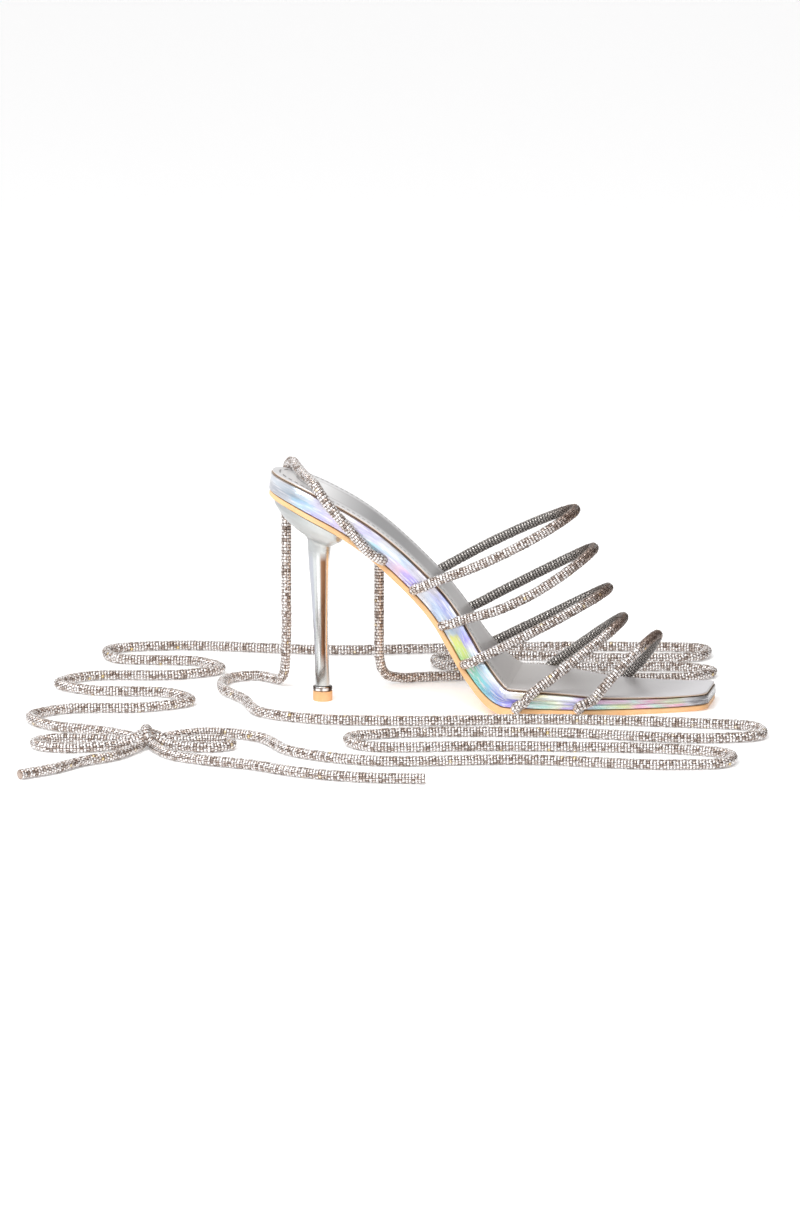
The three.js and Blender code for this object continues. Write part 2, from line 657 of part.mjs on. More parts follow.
addPiece('outsole', withPockets(outsoleBlank), 'outsole');
addPiece('footbed', withPockets(footbedBlank), 'film');
addPiece('insole_sock', toGeometry(toSolid(sock)), 'sock');
addPiece('heel', heelBody(), 'chrome');
addPiece('heel_ring', turned(RING_WIDTH, RING_HEIGHT, RING_RIM), 'chrome', TIP_HEIGHT + CLEARANCE);
addPiece('heel_tip', turned(TIP_WIDTH, TIP_HEIGHT, TIP_RIM), 'tip');
straps.forEach((strap, i) => addPiece(`strap_${i + 1}`, strap, 'rope'));
addPiece('tie_outer', ropeAlong(tieOuter), 'rope');
addPiece('tie_inner', ropeAlong(tieInner), 'rope');
addPiece('bow_knot', knotBody(), 'rope');
Object.entries(BOW).forEach(([name, route]) => {
  addPiece(name, ropeAlong(routeCurve(toVectors(route))), 'rope');
});

export default sandal;
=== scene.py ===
import math
import random
from functools import cache

import bmesh
import bpy
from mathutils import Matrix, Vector


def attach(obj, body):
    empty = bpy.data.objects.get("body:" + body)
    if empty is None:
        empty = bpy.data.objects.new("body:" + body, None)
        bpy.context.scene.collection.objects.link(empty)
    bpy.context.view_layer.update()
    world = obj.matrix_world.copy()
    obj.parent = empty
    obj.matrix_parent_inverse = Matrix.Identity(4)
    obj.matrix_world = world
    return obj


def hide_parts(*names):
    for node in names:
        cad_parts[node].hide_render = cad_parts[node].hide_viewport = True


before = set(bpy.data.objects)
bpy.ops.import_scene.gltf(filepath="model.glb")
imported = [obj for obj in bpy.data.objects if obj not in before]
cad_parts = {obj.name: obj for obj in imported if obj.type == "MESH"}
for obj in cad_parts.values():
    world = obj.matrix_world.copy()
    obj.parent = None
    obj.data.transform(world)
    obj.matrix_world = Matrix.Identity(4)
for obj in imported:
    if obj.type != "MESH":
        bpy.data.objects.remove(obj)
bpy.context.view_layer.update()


# VIEW AND LIGHT
# The shoe stands on a white floor in a white studio. The view is from its outer side and a
# little above, through a long lens, framed on the shoe and the ties that lie round it.
AZIMUTH = math.radians(2)
ELEVATION = math.radians(11)
DISTANCE = 3.4
VIEW_WIDTH = 0.392
VIEW_CENTRE = Vector((0.038, 0.0, 0.048))
SENSOR = 36.0


def srgb(hex_colour, alpha=1.0):
    """The linear colour of an sRGB hex value such as 0xFFCC99."""
    channels = [(hex_colour >> shift & 255) / 255 for shift in (16, 8, 0)]
    linear = [c / 12.92 if c <= 0.04045 else ((c + 0.055) / 1.055) ** 2.4 for c in channels]
    return (*linear, alpha)


def add_node(tree, kind, inputs=None, stops=(), **settings):
    """A new node with its settings and its inputs, each a value or another node's output, and
    a colour ramp's stops, each a place and a hex colour."""
    node = tree.nodes.new(kind)
    for name, value in settings.items():
        setattr(node, name, value)
    if stops:
        elements = node.color_ramp.elements
        while len(elements) < len(stops):
            elements.new(0.5)
        for element, (place, colour) in zip(elements, stops):
            element.position, element.color = place, srgb(colour)
    for name, value in (inputs or {}).items():
        if isinstance(value, bpy.types.NodeSocket):
            tree.links.new(value, node.inputs[name])
        else:
            node.inputs[name].default_value = value
    return node


toward = Vector((
    math.sin(AZIMUTH) * math.cos(ELEVATION),
    -math.cos(AZIMUTH) * math.cos(ELEVATION),
    math.sin(ELEVATION),
))
lens = bpy.data.cameras.new("camera")
lens.sensor_fit = "HORIZONTAL"
lens.sensor_width = SENSOR
lens.lens = SENSOR * DISTANCE / VIEW_WIDTH
lens.clip_end = 20
camera = bpy.data.objects.new("camera", lens)
camera.location = VIEW_CENTRE + DISTANCE * toward
camera.rotation_euler = toward.to_track_quat("Z", "Y").to_euler()
bpy.context.scene.collection.objects.link(camera)
bpy.context.scene.camera = camera
bpy.context.scene.view_settings.view_transform = "Standard"

# What the plating and the stones mirror: white panels, grey gaps between them and one warm
# card, as bands round the shoe. Positions are turns from behind the shoe, through its left.
world = bpy.data.worlds.new("studio")
world.use_nodes = True
bpy.context.scene.world = world
sky = world.node_tree
sky.nodes.clear()
direction = add_node(sky, "ShaderNodeTexCoord").outputs["Generated"]
parts = add_node(sky, "ShaderNodeSeparateXYZ", {0: direction})
ahead = add_node(sky, "ShaderNodeMath", {0: parts.outputs["Y"], 1: -1.0}, operation="MULTIPLY")
turn = add_node(
    sky, "ShaderNodeMath", {0: parts.outputs["X"], 1: ahead.outputs[0]}, operation="ARCTAN2"
)
around = add_node(
    sky, "ShaderNodeMapRange",
    {"Value": turn.outputs[0], "From Min": -math.pi, "From Max": math.pi},
)
bands = add_node(sky, "ShaderNodeValToRGB", {0: around.outputs[0]}, stops=(
    (0.0, 0xFFFFFF), (0.2, 0xF2F2F4), (0.33, 0x8C8E94), (0.4, 0xC9CBD0), (0.43, 0xFFFFFF),
    (0.475, 0xFFFFFF), (0.5, 0xC8C8CC), (0.56, 0xE2E1E2), (0.59, 0x8E7B6E), (0.62, 0x2A1A12),
    (0.84, 0x38241A), (0.9, 0xE4E0DD), (1.0, 0xFFFFFF),
))
overhead = add_node(
    sky, "ShaderNodeMapRange",
    {"Value": parts.outputs["Z"], "From Min": 0.6, "From Max": 0.9},
)
studio = add_node(
    sky, "ShaderNodeMix",
    {"Factor": overhead.outputs[0], "A": bands.outputs["Color"], "B": srgb(0xFFFFFF)},
    data_type="RGBA",
)
rays = add_node(sky, "ShaderNodeLightPath")
lit = add_node(sky, "ShaderNodeBackground", {"Color": studio.outputs["Result"], "Strength": 0.9})
plain = add_node(sky, "ShaderNodeBackground", {"Color": srgb(0xFFFFFF), "Strength": 1.0})
choice = add_node(sky, "ShaderNodeMixShader", {
    0: rays.outputs["Is Camera Ray"], 1: lit.outputs[0], 2: plain.outputs[0],
})
add_node(sky, "ShaderNodeOutputWorld", {"Surface": choice.outputs[0]})

for name, place, watts, size in (
    ("key", (-0.5, -0.9, 1.3), 19.0, 0.9),
    ("fill", (0.4, -1.2, 0.7), 2.5, 0.8),
):
    lamp = bpy.data.lights.new(name, "AREA")
    lamp.energy = watts
    lamp.size = size
    holder = bpy.data.objects.new(name, lamp)
    holder.location = place
    holder.rotation_euler = Vector(place).to_track_quat("Z", "Y").to_euler()
    bpy.context.scene.collection.objects.link(holder)

floor_mesh = bmesh.new()
bmesh.ops.create_grid(floor_mesh, x_segments=1, y_segments=1, size=6)
floor_data = bpy.data.meshes.new("floor")
floor_mesh.to_mesh(floor_data)
floor_mesh.free()
floor = bpy.data.objects.new("floor", floor_data)
bpy.context.scene.collection.objects.link(floor)
floor_paint = bpy.data.materials.new("white studio floor")
floor_paint.use_nodes = True
paint = floor_paint.node_tree.nodes["Principled BSDF"].inputs
paint["Base Color"].default_value = srgb(0xFFFFFF)
paint["Roughness"].default_value = 0.35
paint["Emission Color"].default_value = srgb(0xFFFFFF)
paint["Emission Strength"].default_value = 0.22
floor_data.materials.append(floor_paint)


# OUTSOLE
# A nude sheet sole, moulded in one piece and cemented under the board: 2.5 mm thick in the
# waist, thicker under the ball, with a trimmed satin edge. It follows the last, whose lines
# along the foot and across it come first.
MM = 0.001
REACH = 218.5 * MM
HEEL_RISE = 103.4 * MM
HEEL_AXIS = 26.5 * MM
BALL_WIDTH = 65 * MM
BALL_SLANT = 7.5 * MM
SEAT_ROUND = 23 * MM
BACK_RAKE = 0.25
TOE_CORNER = 5 * MM
TOE_SPRING = 0.6 * MM
TOE_SPRING_START = 0.9
OUTSOLE = 2.5 * MM
OUTSOLE_INSET = 0.5 * MM
OUTSOLE_EDGE = 0.6 * MM
CLEARANCE = 0.3 * MM
SOLE_ROWS = 110
FLAT_STEPS = 9
CORNER_STEPS = 4
SIDE_STEPS = (0.08, 0.2, 0.32, 0.41, 0.47, 0.52, 0.57, 0.63, 0.72, 0.82, 0.92)
CREASE_PLACE = 0.52
CREASE_SPREAD = 0.08

# Underside along the foot, as shares of the reach and of the heel's rise
PROFILE = {
    "along": (0.0, 0.05, 0.105, 0.16, 0.213, 0.281, 0.349, 0.382, 0.409, 0.437, 0.465, 0.492,
              0.519, 0.547, 0.57, 1.0),
    "rise": (1.0, 0.9555, 0.8975, 0.834, 0.756, 0.629, 0.482, 0.392, 0.3, 0.208, 0.131, 0.07,
             0.027, 0.004, 0.0, 0.0),
}

# Half widths as shares of the ball's width, the slant of a line across the foot, and the
# thickness of outsole and band, each as a share of its own size
OUTLINE = {
    "along": (0.0, 0.105, 0.16, 0.213, 0.281, 0.349, 0.409, 0.465, 0.533, 0.584, 0.634, 0.694,
              0.762, 0.83, 0.9, 1.0),
    "outer": (0.38, 0.388, 0.397, 0.385, 0.363, 0.372, 0.431, 0.503, 0.563, 0.582, 0.6, 0.59,
              0.546, 0.488, 0.423, 0.315),
    "inner": (0.37, 0.37, 0.366, 0.344, 0.31, 0.298, 0.315, 0.36, 0.4, 0.405, 0.36, 0.305,
              0.264, 0.238, 0.216, 0.2),
    "slant": (0.0, 0.0, 0.0, 0.0, 0.05, 0.1, 0.25, 0.55, 0.9, 1.0, 1.05, 1.1, 1.15, 1.2, 1.25,
              1.3),
    "outsole": (1.0, 1.0, 1.0, 1.0, 1.0, 1.0, 1.05, 1.15, 1.5, 1.6, 1.5, 1.36, 1.2, 1.06, 1.0,
                0.96),
    "band": (0.94, 0.98, 1.0, 1.03, 1.06, 1.06, 1.06, 1.04, 0.92, 0.86, 0.83, 0.74, 0.56, 0.51,
             0.48, 0.46),
}


def smooth_column(table, column):
    """A smooth curve through one column of a table that never swings past its rows."""
    places, values = table["along"], table[column]
    chords = [
        (values[i + 1] - values[i]) / (places[i + 1] - places[i]) for i in range(len(places) - 1)
    ]
    slopes = [chords[0]]
    for before, after in zip(chords, chords[1:]):
        slopes.append(0 if before * after <= 0 else 2 * before * after / (before + after))
    slopes.append(chords[-1])

    @cache
    def value(along):
        at = min(max(along, places[0]), places[-1])
        i = min(sum(place <= at for place in places) - 1, len(places) - 2)
        span = places[i + 1] - places[i]
        t = (at - places[i]) / span
        start = values[i] * (1 + 2 * t) + slopes[i] * span * t
        end = values[i + 1] * (3 - 2 * t) - slopes[i + 1] * span * (1 - t)
        return start * (1 - t) ** 2 + end * t ** 2

    return value


rise_share = smooth_column(PROFILE, "rise")
outer_share = smooth_column(OUTLINE, "outer")
inner_share = smooth_column(OUTLINE, "inner")
slant_share = smooth_column(OUTLINE, "slant")
outsole_share = smooth_column(OUTLINE, "outsole")
band_share = smooth_column(OUTLINE, "band")


def underside(along):
    lift = max(0.0, (along - TOE_SPRING_START) / (1 - TOE_SPRING_START))
    return HEEL_RISE * rise_share(along) + TOE_SPRING * lift ** 2


def upright(along):
    step = 0.004
    before, after = max(0.0, along - step), min(1.0, along + step)
    climb = (underside(after) - underside(before)) / ((after - before) * REACH)
    return Vector((-climb, 0, 1)).normalized()


def on_last(along, across, up):
    """A point of the last, from its share of the foot, its place across and its height."""
    slant = BALL_SLANT / BALL_WIDTH * slant_share(along) * across
    near_back = max(0.0, 1 - along * REACH / SEAT_ROUND)
    x = along * REACH - HEEL_AXIS + slant - BACK_RAKE * up * near_back ** 2
    return Vector((x, across, underside(along))) + upright(along) * up


def edge_of(share, along, inset=0.0):
    """How far the sole reaches from its middle line, round at the heel and the toe's corners."""
    seat = math.sqrt(1 - (1 - min(1.0, along * REACH / SEAT_ROUND)) ** 2)
    corner = min(1.0, (1 - along) * REACH / TOE_CORNER)
    off = TOE_CORNER * (1 - math.sqrt(1 - (1 - corner) ** 2))
    return (BALL_WIDTH * share(along) - off - inset) * seat


def outsole_top(along):
    return OUTSOLE * outsole_share(along)


def rows_along(middle_rows):
    """Shares of the foot for the rows: close round heel and toe, even along the slope between."""
    heel = [(1 - math.cos(0.1 * i)) * SEAT_ROUND / REACH for i in range(1, 16)]
    toe = [1 - (1 - math.cos(0.25 * i)) * TOE_CORNER / REACH for i in range(6, 0, -1)]
    start, end, fine = SEAT_ROUND / REACH, 1 - TOE_CORNER / REACH, 600
    places = [start + (end - start) * i / fine for i in range(fine + 1)]
    lengths = [0.0]
    for before, after in zip(places, places[1:]):
        step = math.hypot((after - before) * REACH, underside(after) - underside(before))
        lengths.append(lengths[-1] + step)
    middle = []
    for row in range(middle_rows + 1):
        goal = lengths[-1] * row / middle_rows
        middle.append(places[min(sum(length < goal for length in lengths), fine)])
    return [0.0, *heel, *middle, *toe, 1.0]


@cache
def arc_position(along):
    """The length along the underside from the back of the heel, in metres."""
    steps = max(1, round(along * 200))
    points = [on_last(along * i / steps, 0, 0) for i in range(steps + 1)]
    return sum((b - a).length for a, b in zip(points, points[1:]))


def from_rim(along, across):
    """How far inside the sole's outline a place lies, in metres."""
    half = BALL_WIDTH * (outer_share(along) if across < 0 else inner_share(along))
    behind = max(0.0, 1 - along * REACH / SEAT_ROUND)
    return (1 - math.hypot(behind, across / half)) * min(SEAT_ROUND, half)


def section_points(low, high, outer, inner, edge, bulge, crease):
    """Across and up for the points round one section: rounded corners, bulging sides."""
    trim = max(0.0, min(edge, outer, inner, (high - low) / 2))
    points = []
    for side, reach in ((-1, outer), (1, inner)):
        one = [
            (-(reach - trim) * step / FLAT_STEPS, low) for step in range(1, FLAT_STEPS)
        ]
        for start, middle in ((270, low + trim), (180, high - trim)):
            for step in range(CORNER_STEPS + 1):
                a = math.radians(start - 90 / CORNER_STEPS * step)
                one.append((-reach + trim + trim * math.cos(a), middle + trim * math.sin(a)))
            if start == 270:
                for f in SIDE_STEPS:
                    out = bulge * math.sin(math.pi * f) ** 0.7
                    out -= crease * math.exp(-((f - CREASE_PLACE) / CREASE_SPREAD) ** 2)
                    one.append((-reach - out, low + trim + f * (high - low - 2 * trim)))
        one += [
            (-(reach - trim) * (1 - step / FLAT_STEPS), high) for step in range(1, FLAT_STEPS)
        ]
        if side > 0:
            one = [(-across, up) for across, up in reversed(one)]
            points += [(0.0, high), *one, (0.0, low)]
        else:
            points += one
    return points


def sole_piece(name, low, high, inset, edge, bulge=0.0, crease=None, rim=0.6 * MM):
    """A closed layer of the sole between two heights, with a rounded front edge at the toe.
    Its UV map "sole" holds the length along the foot and the share of the layer's height, and
    "rim" the distance from the outline."""
    rows = [(share, 0.0) for share in rows_along(SOLE_ROWS)[:-1]]
    for degrees in range(0, 100, 18):
        a = math.radians(degrees)
        rows.append((1 - rim / REACH * (1 - math.sin(a)), rim * (1 - math.cos(a))))
    rings = []
    for share, shrink in rows:
        along = inset / REACH + (1 - 2 * inset / REACH) * share
        bottom, top = low(along) + shrink, high(along) - shrink
        outer = max(0.0, edge_of(outer_share, share, inset) - shrink)
        inner = max(0.0, edge_of(inner_share, share, inset) - shrink)
        deep = crease(along) if crease else 0.0
        rings.append([
            (on_last(along, across, up), (arc_position(along), (up - bottom) / (top - bottom)),
             (from_rim(along, across), 0.0))
            for across, up in section_points(bottom, top, outer, inner, edge, bulge, deep)
        ])
    mesh = bmesh.new()
    columns = len(rings[0])
    bmesh.ops.create_grid(mesh, x_segments=len(rings) - 1, y_segments=columns, size=0.5)
    along_sole = mesh.loops.layers.uv.new("sole")
    inside_rim = mesh.loops.layers.uv.new("rim")
    spots = {}
    for vert in mesh.verts:
        row = round((vert.co.x + 0.5) * (len(rings) - 1))
        spots[vert] = rings[row][round((vert.co.y + 0.5) * columns) % columns]
    for face in mesh.faces:
        for loop in face.loops:
            loop[along_sole].uv = spots[loop.vert][1]
            loop[inside_rim].uv = spots[loop.vert][2]
    for vert, spot in spots.items():
        vert.co = spot[0]
    bmesh.ops.remove_doubles(mesh, verts=mesh.verts, dist=0.01 * MM)
    open_edges = [joint for joint in mesh.edges if joint.is_boundary]
    bmesh.ops.holes_fill(mesh, edges=open_edges, sides=0)
    bmesh.ops.recalc_face_normals(mesh, faces=mesh.faces)
    return finished(name, mesh)


def finished(name, mesh, smooth_under=35):
    """The object of a bmesh, smooth but for edges sharper than the given degrees."""
    for face in mesh.faces:
        face.smooth = True
    for joint in mesh.edges:
        joint.smooth = not joint.is_manifold or (
            joint.calc_face_angle(0) < math.radians(smooth_under)
        )
    data = bpy.data.meshes.new(name)
    mesh.to_mesh(data)
    mesh.free()
    piece = bpy.data.objects.new(name, data)
    bpy.context.scene.collection.objects.link(piece)
    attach(piece, "root")
    return piece


def new_material(name, **inputs):
    """A material and its tree, with the Principled inputs given by name."""
    material = bpy.data.materials.new(name)
    material.use_nodes = True
    tree = material.node_tree
    tree.nodes.clear()
    shader = add_node(tree, "ShaderNodeBsdfPrincipled", {
        key.replace("_", " "): value for key, value in inputs.items()
    })
    add_node(tree, "ShaderNodeOutputMaterial", {"Surface": shader.outputs[0]})
    return material, tree, shader


outsole = sole_piece(
    "outsole_sheet", lambda along: 0.0, outsole_top, OUTSOLE_INSET, OUTSOLE_EDGE
)
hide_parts("outsole")

# Thermoplastic rubber, moulded smooth: nude, with a faint cloud of tone and a fine grain
nude, tree, shader = new_material("moulded nude rubber", Roughness=0.42)
spot = add_node(tree, "ShaderNodeTexCoord").outputs["Object"]
cloud = add_node(tree, "ShaderNodeTexNoise", {"Vector": spot, "Scale": 60.0, "Detail": 3.0})
tone = add_node(
    tree, "ShaderNodeValToRGB", {0: cloud.outputs["Fac"]}, stops=((0.3, 0xF0B981), (0.7, 0xFACC97))
)
tree.links.new(tone.outputs["Color"], shader.inputs["Base Color"])
grain = add_node(tree, "ShaderNodeTexNoise", {"Vector": spot, "Scale": 1600.0})
relief = add_node(tree, "ShaderNodeBump", {
    "Height": grain.outputs["Fac"], "Strength": 0.12, "Distance": 0.1 * MM,
})
tree.links.new(relief.outputs["Normal"], shader.inputs["Normal"])
outsole.data.materials.append(nude)


# FOOTBED
# A board and its padding with silver iridescent film wrapped round the edge. In the forefoot
# the padding shows as two rolls with a crease between them.
BAND = 9.5 * MM
BAND_BULGE = 0.5 * MM
BAND_EDGE = 1.2 * MM
CREASE_DEPTH = 0.45 * MM
CREASE_START = 0.6
CREASE_RUN = 0.1


def band_bottom(along):
    return outsole_top(along) + CLEARANCE


def band_top(along):
    return band_bottom(along) + BAND * band_share(along)


def forefoot_crease(along):
    return CREASE_DEPTH * min(1.0, max(0.0, (along - CREASE_START) / CREASE_RUN))


FOOT_LENGTH = arc_position(1.0)

footbed = sole_piece(
    "footbed_band", band_bottom, band_top, 0.0, BAND_EDGE, BAND_BULGE, forefoot_crease
)
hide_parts("footbed")

# Silver film with an interference coat, pulled tight: pastel pools along its low and high half
# that run into each other in long streaks, crinkled folds with white flashes that are painted
# highlights, a dark line at the seam, and painted shade on the toe's front face
film, tree, shader = new_material("iridescent film", Metallic=0.5, Roughness=0.16)
spot = add_node(tree, "ShaderNodeUVMap", uv_map="sole").outputs["UV"]
place = add_node(tree, "ShaderNodeSeparateXYZ", {0: spot})
drift_place = add_node(tree, "ShaderNodeMapping", {0: spot, "Scale": (70.0, 2.2, 1.0)})
drift = add_node(
    tree, "ShaderNodeTexNoise", {"Vector": drift_place.outputs[0], "Scale": 1.0, "Detail": 4.0}
)
shift = add_node(tree, "ShaderNodeMapRange", {
    "Value": drift.outputs["Fac"], "From Min": 0.3, "From Max": 0.7, "To Min": -6 * MM,
    "To Max": 6 * MM,
})
moved = add_node(
    tree, "ShaderNodeMath", {0: place.outputs["X"], 1: shift.outputs[0]}, operation="ADD"
)
share = add_node(
    tree, "ShaderNodeMath", {0: moved.outputs[0], 1: FOOT_LENGTH}, operation="DIVIDE"
)
# Both ramps end dark on the toe's front face: painted shade.
low = add_node(tree, "ShaderNodeValToRGB", {0: share.outputs[0]}, stops=(
    (0.0, 0xC2C5CA), (0.035, 0xCDD3D8), (0.06, 0xBFE6FA), (0.09, 0xCBD0FF), (0.13, 0xE9DCFA),
    (0.18, 0xF4FBFF), (0.215, 0xC3EFF8), (0.25, 0xDAD6EE), (0.285, 0xF3D6E4), (0.315, 0xB8ADF7),
    (0.33, 0xFFFFFF), (0.38, 0xC8D9F2), (0.42, 0xD6E9F0), (0.435, 0xF7F59B),
    (0.465, 0xEBF98F), (0.485, 0xC8F49A), (0.505, 0xA9F0CF), (0.535, 0x9DF0F0), (0.565, 0xA5DDF9),
    (0.6, 0xA9B4FA), (0.635, 0xA79DF7), (0.66, 0xE4DEFC), (0.69, 0xC5F6EA), (0.72, 0xF2F9D8),
    (0.75, 0xC9C0FA), (0.8, 0xC8F5EC), (0.84, 0xE2F2B4), (0.88, 0xF9BEE0), (0.91, 0xC4F0DA),
    (0.945, 0xF6B3CC), (0.97, 0xC6C9CC), (1.0, 0x5F5B5A),
))
high = add_node(tree, "ShaderNodeValToRGB", {0: share.outputs[0]}, stops=(
    (0.0, 0xE4E6E8), (0.05, 0xDFF0FB), (0.09, 0xEDE8FF), (0.14, 0xFFFFFF), (0.19, 0xDCD7F8),
    (0.235, 0xF6FBFF), (0.27, 0xD2E6FA), (0.31, 0xE4E1EE), (0.345, 0xFAF7FF), (0.375, 0xBAC3FA),
    (0.41, 0xE6EEFC), (0.435, 0xC9D4FC), (0.46, 0xB3ABF6), (0.485, 0xF6F8FF), (0.52, 0xC8EAFC),
    (0.56, 0xF2FAFF), (0.6, 0xD6DBFE), (0.64, 0xFFFFFF), (0.67, 0xF2E7C4), (0.7, 0xFDF7CE),
    (0.735, 0xF2FFF8), (0.77, 0xE3D6FC), (0.82, 0xF9CDE9), (0.86, 0xDDF7EE), (0.9, 0xF9B6D4),
    (0.94, 0xE4F2C8), (0.97, 0xEDEFF0), (1.0, 0x6C6867),
))
streak_place = add_node(tree, "ShaderNodeMapping", {0: spot, "Scale": (34.0, 7.5, 1.0)})
streak = add_node(
    tree, "ShaderNodeTexNoise", {"Vector": streak_place.outputs[0], "Scale": 1.0, "Detail": 5.0}
)
level = add_node(
    tree, "ShaderNodeMath", {0: streak.outputs["Fac"], 1: place.outputs["Y"]}, operation="ADD"
)
upper = add_node(tree, "ShaderNodeMapRange", {
    "Value": level.outputs[0], "From Min": 0.97, "From Max": 1.1,
})
pools = add_node(
    tree, "ShaderNodeMix",
    {0: upper.outputs[0], 6: low.outputs["Color"], 7: high.outputs["Color"]},
    data_type="RGBA",
)
flash_place = add_node(tree, "ShaderNodeMapping", {0: spot, "Scale": (110.0, 15.0, 1.0)})
flash = add_node(
    tree, "ShaderNodeTexNoise", {"Vector": flash_place.outputs[0], "Scale": 1.0, "Detail": 3.0}
)
# Painted highlight: white flashes where the crinkle noise runs high, mixed into the colour.
white = add_node(tree, "ShaderNodeMapRange", {
    "Value": flash.outputs["Fac"], "From Min": 0.54, "From Max": 0.62, "To Max": 0.9,
})
with_painted_highlights = add_node(
    tree, "ShaderNodeMix",
    {0: white.outputs[0], 6: pools.outputs[2], 7: srgb(0xFFFFFF)}, data_type="RGBA",
)
seam = add_node(tree, "ShaderNodeValToRGB", {0: place.outputs["Y"]}, stops=(
    (0.0, 0xB4AEB0), (0.06, 0xE4E4E9), (0.4, 0xE9E9EE), (0.9, 0xF2F2F5), (0.935, 0xD8D3D6),
    (0.96, 0x857B76), (0.975, 0x5F534B), (0.985, 0xC9B29C), (1.0, 0xDCC9B6),
))
film_colour = add_node(
    tree, "ShaderNodeMix",
    {0: 1.0, 6: with_painted_highlights.outputs[2], 7: seam.outputs["Color"]},
    data_type="RGBA", blend_type="MULTIPLY",
)
tree.links.new(film_colour.outputs[2], shader.inputs["Base Color"])
crinkle = add_node(tree, "ShaderNodeBump", {
    "Height": flash.outputs["Fac"], "Strength": 0.35, "Distance": 0.3 * MM,
})
tree.links.new(crinkle.outputs["Normal"], shader.inputs["Normal"])
footbed.data.materials.append(film)


# SOCK
# The insole sock: silver coated leather, glued to the padded board, stitched round the heel
# and bound at its rim by a thin bronze edge.
SOCK = 1 * MM
SOCK_INSET = 0.5 * MM
SOCK_EDGE = 0.4 * MM
SOCK_RIM = 0.4 * MM
STITCH_INSET = 3.5 * MM
STITCH_PITCH = 2.6 * MM
PAD_INSET = 10 * MM


def sock_bottom(along):
    return band_top(along) + CLEARANCE


def sock_top(along):
    return sock_bottom(along) + SOCK


sock = sole_piece("sock_sheet", sock_bottom, sock_top, SOCK_INSET, SOCK_EDGE, rim=SOCK_RIM)
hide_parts("insole_sock")

# Silver foil on a thin leather: satin, near white on the seat, darkened by painted shade in the
# arch's hollow away from the rim, and grey under the toes. Bronze where its cut edge shows,
# stitched 3.5 mm inside the rim.
silver, tree, shader = new_material("foiled leather", Metallic=0.35, Roughness=0.36)
spot = add_node(tree, "ShaderNodeUVMap", uv_map="sole").outputs["UV"]
place = add_node(tree, "ShaderNodeSeparateXYZ", {0: spot})
share = add_node(
    tree, "ShaderNodeMath", {0: place.outputs["X"], 1: FOOT_LENGTH}, operation="DIVIDE"
)
# Along the middle of the sock: dark in the arch's hollow as painted shade.
middle_tone_with_painted_shade = add_node(tree, "ShaderNodeValToRGB", {0: share.outputs[0]}, stops=(
    (0.0, 0xFFFFFE), (0.09, 0xFAFAFA), (0.14, 0xC2C2C3), (0.19, 0x8F8F91), (0.26, 0x8E8E90),
    (0.33, 0xA3A2A3), (0.39, 0xB9B8B8), (0.5, 0xB9B6B5), (0.62, 0xB8B3B0), (0.8, 0xC1BEBD),
    (1.0, 0xD5D3D6),
))
rim_tone = add_node(tree, "ShaderNodeValToRGB", {0: share.outputs[0]}, stops=(
    (0.0, 0xD9D9DA), (0.15, 0xE6E6E7), (0.3, 0xE0E0E1), (0.5, 0xCFCDCC), (0.62, 0xBBB6B3),
    (1.0, 0xD5D3D6),
))
inside = add_node(tree, "ShaderNodeUVMap", uv_map="rim").outputs["UV"]
inward = add_node(tree, "ShaderNodeSeparateXYZ", {0: inside})
# The hollow's painted shade grows from 3 to 11 mm inside the rim.
deep = add_node(tree, "ShaderNodeMapRange", {
    "Value": inward.outputs["X"], "From Min": 3 * MM, "From Max": 11 * MM,
})
foil = add_node(
    tree, "ShaderNodeMix",
    {0: deep.outputs[0], 6: rim_tone.outputs["Color"], 7: middle_tone_with_painted_shade.outputs["Color"]},
    data_type="RGBA",
)
from_stitches = add_node(
    tree, "ShaderNodeMath", {0: inward.outputs["X"], 1: STITCH_INSET}, operation="SUBTRACT"
)
off_line = add_node(tree, "ShaderNodeMath", {0: from_stitches.outputs[0]}, operation="ABSOLUTE")
groove = add_node(tree, "ShaderNodeMapRange", {
    "Value": off_line.outputs[0], "From Min": 0.3 * MM, "From Max": 0.8 * MM, "To Min": 1.0,
    "To Max": 0.0,
})
stitch_turn = add_node(
    tree, "ShaderNodeMath", {0: place.outputs["X"], 1: 2 * math.pi / STITCH_PITCH},
    operation="MULTIPLY",
)
stitch_wave = add_node(tree, "ShaderNodeMath", {0: stitch_turn.outputs[0]}, operation="SINE")
thread = add_node(tree, "ShaderNodeMapRange", {
    "Value": stitch_wave.outputs[0], "From Min": -0.5, "From Max": 0.1,
})
seen = add_node(tree, "ShaderNodeMapRange", {
    "Value": share.outputs[0], "From Min": 0.5, "From Max": 0.62, "To Min": 0.9, "To Max": 0.0,
})
line = add_node(
    tree, "ShaderNodeMath", {0: groove.outputs[0], 1: thread.outputs[0]}, operation="MULTIPLY"
)
dark = add_node(
    tree, "ShaderNodeMath", {0: line.outputs[0], 1: seen.outputs[0]}, operation="MULTIPLY"
)
pad_line = add_node(
    tree, "ShaderNodeMath", {0: inward.outputs["X"], 1: PAD_INSET}, operation="SUBTRACT"
)
off_pad = add_node(tree, "ShaderNodeMath", {0: pad_line.outputs[0]}, operation="ABSOLUTE")
pad_groove = add_node(tree, "ShaderNodeMapRange", {
    "Value": off_pad.outputs[0], "From Min": 0.2 * MM, "From Max": 0.7 * MM, "To Min": 1.0,
    "To Max": 0.0,
})
on_seat = add_node(tree, "ShaderNodeMapRange", {
    "Value": share.outputs[0], "From Min": 0.15, "From Max": 0.22, "To Min": 0.55, "To Max": 0.0,
})
pad_edge = add_node(
    tree, "ShaderNodeMath", {0: pad_groove.outputs[0], 1: on_seat.outputs[0]},
    operation="MULTIPLY",
)
